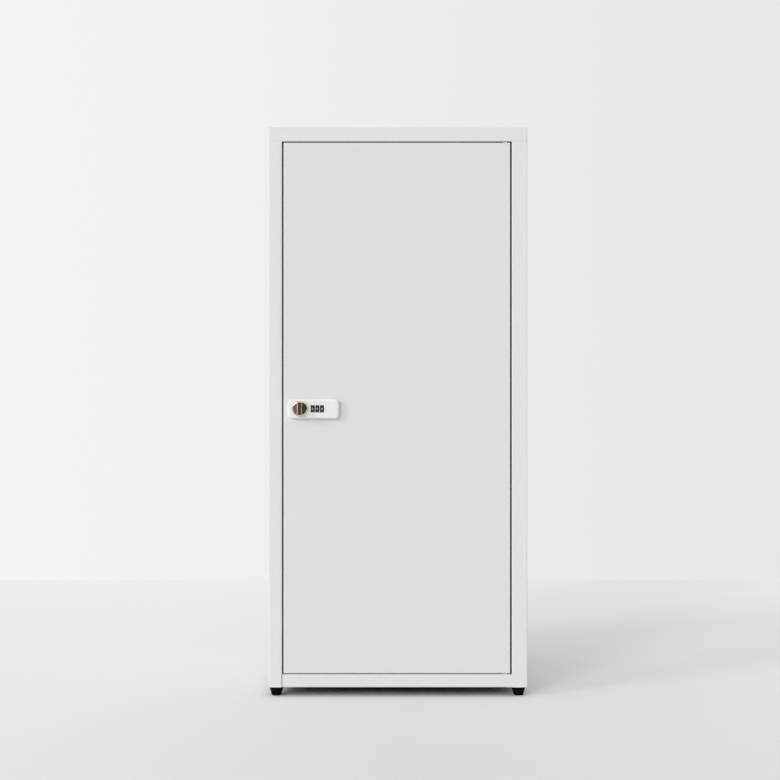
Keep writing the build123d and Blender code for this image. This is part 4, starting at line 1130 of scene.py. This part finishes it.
make_screws("cam_hex_screw", [hex_grid], "cam_screw", "knob", zinc_plate)

# %% [markdown]
# ## The cam
#
# The cam is a flat blanked lever: two circles of different size joined by their common
# tangents. Blanking leaves its edges a little rounded. The outline is given by the direction
# of its normal, so that the same outline a little further in just has smaller circles, and
# the rounded edge follows from that.

# %% Blank the cam
CAM_HUB_RADIUS = 9.0
CAM_TIP_RADIUS = 5.5
CAM_EDGE = 0.35
cam_low, cam_high = box_mm("lock_cam")
cam_thickness = cam_high[1] - cam_low[1]
cam_reach = (cam_high[2] - CAM_HUB_RADIUS) - (cam_low[2] + CAM_TIP_RADIUS)
first_normal = -math.asin((CAM_HUB_RADIUS - CAM_TIP_RADIUS) / cam_reach)
hub_normals = np.linspace(first_normal, math.pi - first_normal, 64)
tip_normals = np.linspace(math.pi - first_normal, 2 * math.pi + first_normal, 40)
edge_turn = np.linspace(0, math.pi / 2, 5)
inset = CAM_EDGE * (1 - np.sin(edge_turn))
depth = CAM_EDGE * (1 - np.cos(edge_turn))
inset = np.concatenate([inset, inset[::-1]])[:, None]
depth = np.concatenate([depth, cam_thickness - depth[::-1]])[:, None]
hub_radius, tip_radius = CAM_HUB_RADIUS - inset, CAM_TIP_RADIUS - inset
across = np.concatenate(
    [hub_radius * np.cos(hub_normals), tip_radius * np.cos(tip_normals)], axis=1
)
up = np.concatenate(
    [hub_radius * np.sin(hub_normals), tip_radius * np.sin(tip_normals) - cam_reach], axis=1
)
back = np.broadcast_to(depth, across.shape)
cam_grid = np.stack([across, back, up], axis=-1) + np.array(
    [(cam_low[0] + cam_high[0]) / 2, cam_low[1], cam_high[2] - CAM_HUB_RADIUS]
)
front_pole, back_pole = (
    np.broadcast_to(ring.mean(1, keepdims=True), ring.shape)
    for ring in (cam_grid[:1], cam_grid[-1:])
)
cam_grid = np.concatenate([front_pole, cam_grid, back_pole])
cam_lever = surface_from_grid("cam_lever", cam_grid, close_columns=True)
tidy_surface(cam_lever, sharp_angle=50.0)
cam_lever.data.materials.append(brushed_zinc)
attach(cam_lever, "knob")
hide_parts("lock_cam")
print("cam faces:", len(cam_lever.data.polygons), "reach", round(cam_reach, 1))

# %% [markdown]
# ## Door buffers
#
# Two soft rubber domes on the stop lip take the door's last half millimetre. Each is one
# turned profile with a well rounded rim.

# %% Turn the buffers
BUFFER_RADIUS = 3.5
buffer_low, buffer_high = box_mm("door_buffers")
buffer_height = buffer_high[1] - buffer_low[1]
buffer_profile = rounded_profile(
    [
        (0, -buffer_height),
        (BUFFER_RADIUS * 0.5, -buffer_height),
        (BUFFER_RADIUS, -buffer_height * 0.45),
        (BUFFER_RADIUS, 0),
        (0, 0),
    ],
    [1.5, 0.8, 0.1],
)
buffer_x = (buffer_low[0] + buffer_high[0]) / 2
buffer_grids = [
    turned_points(buffer_profile, (buffer_x, buffer_high[1], z), axis="y", around=40)
    for z in (buffer_low[2] + BUFFER_RADIUS, buffer_high[2] - BUFFER_RADIUS)
]
buffer_domes = surface_from_grid("buffer_domes", np.stack(buffer_grids), close_rows=True)
tidy_surface(buffer_domes)
buffer_domes.data.materials.append(buffer_rubber)
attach(buffer_domes, "cabinet")
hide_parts("door_buffers")
print("buffer faces:", len(buffer_domes.data.polygons))
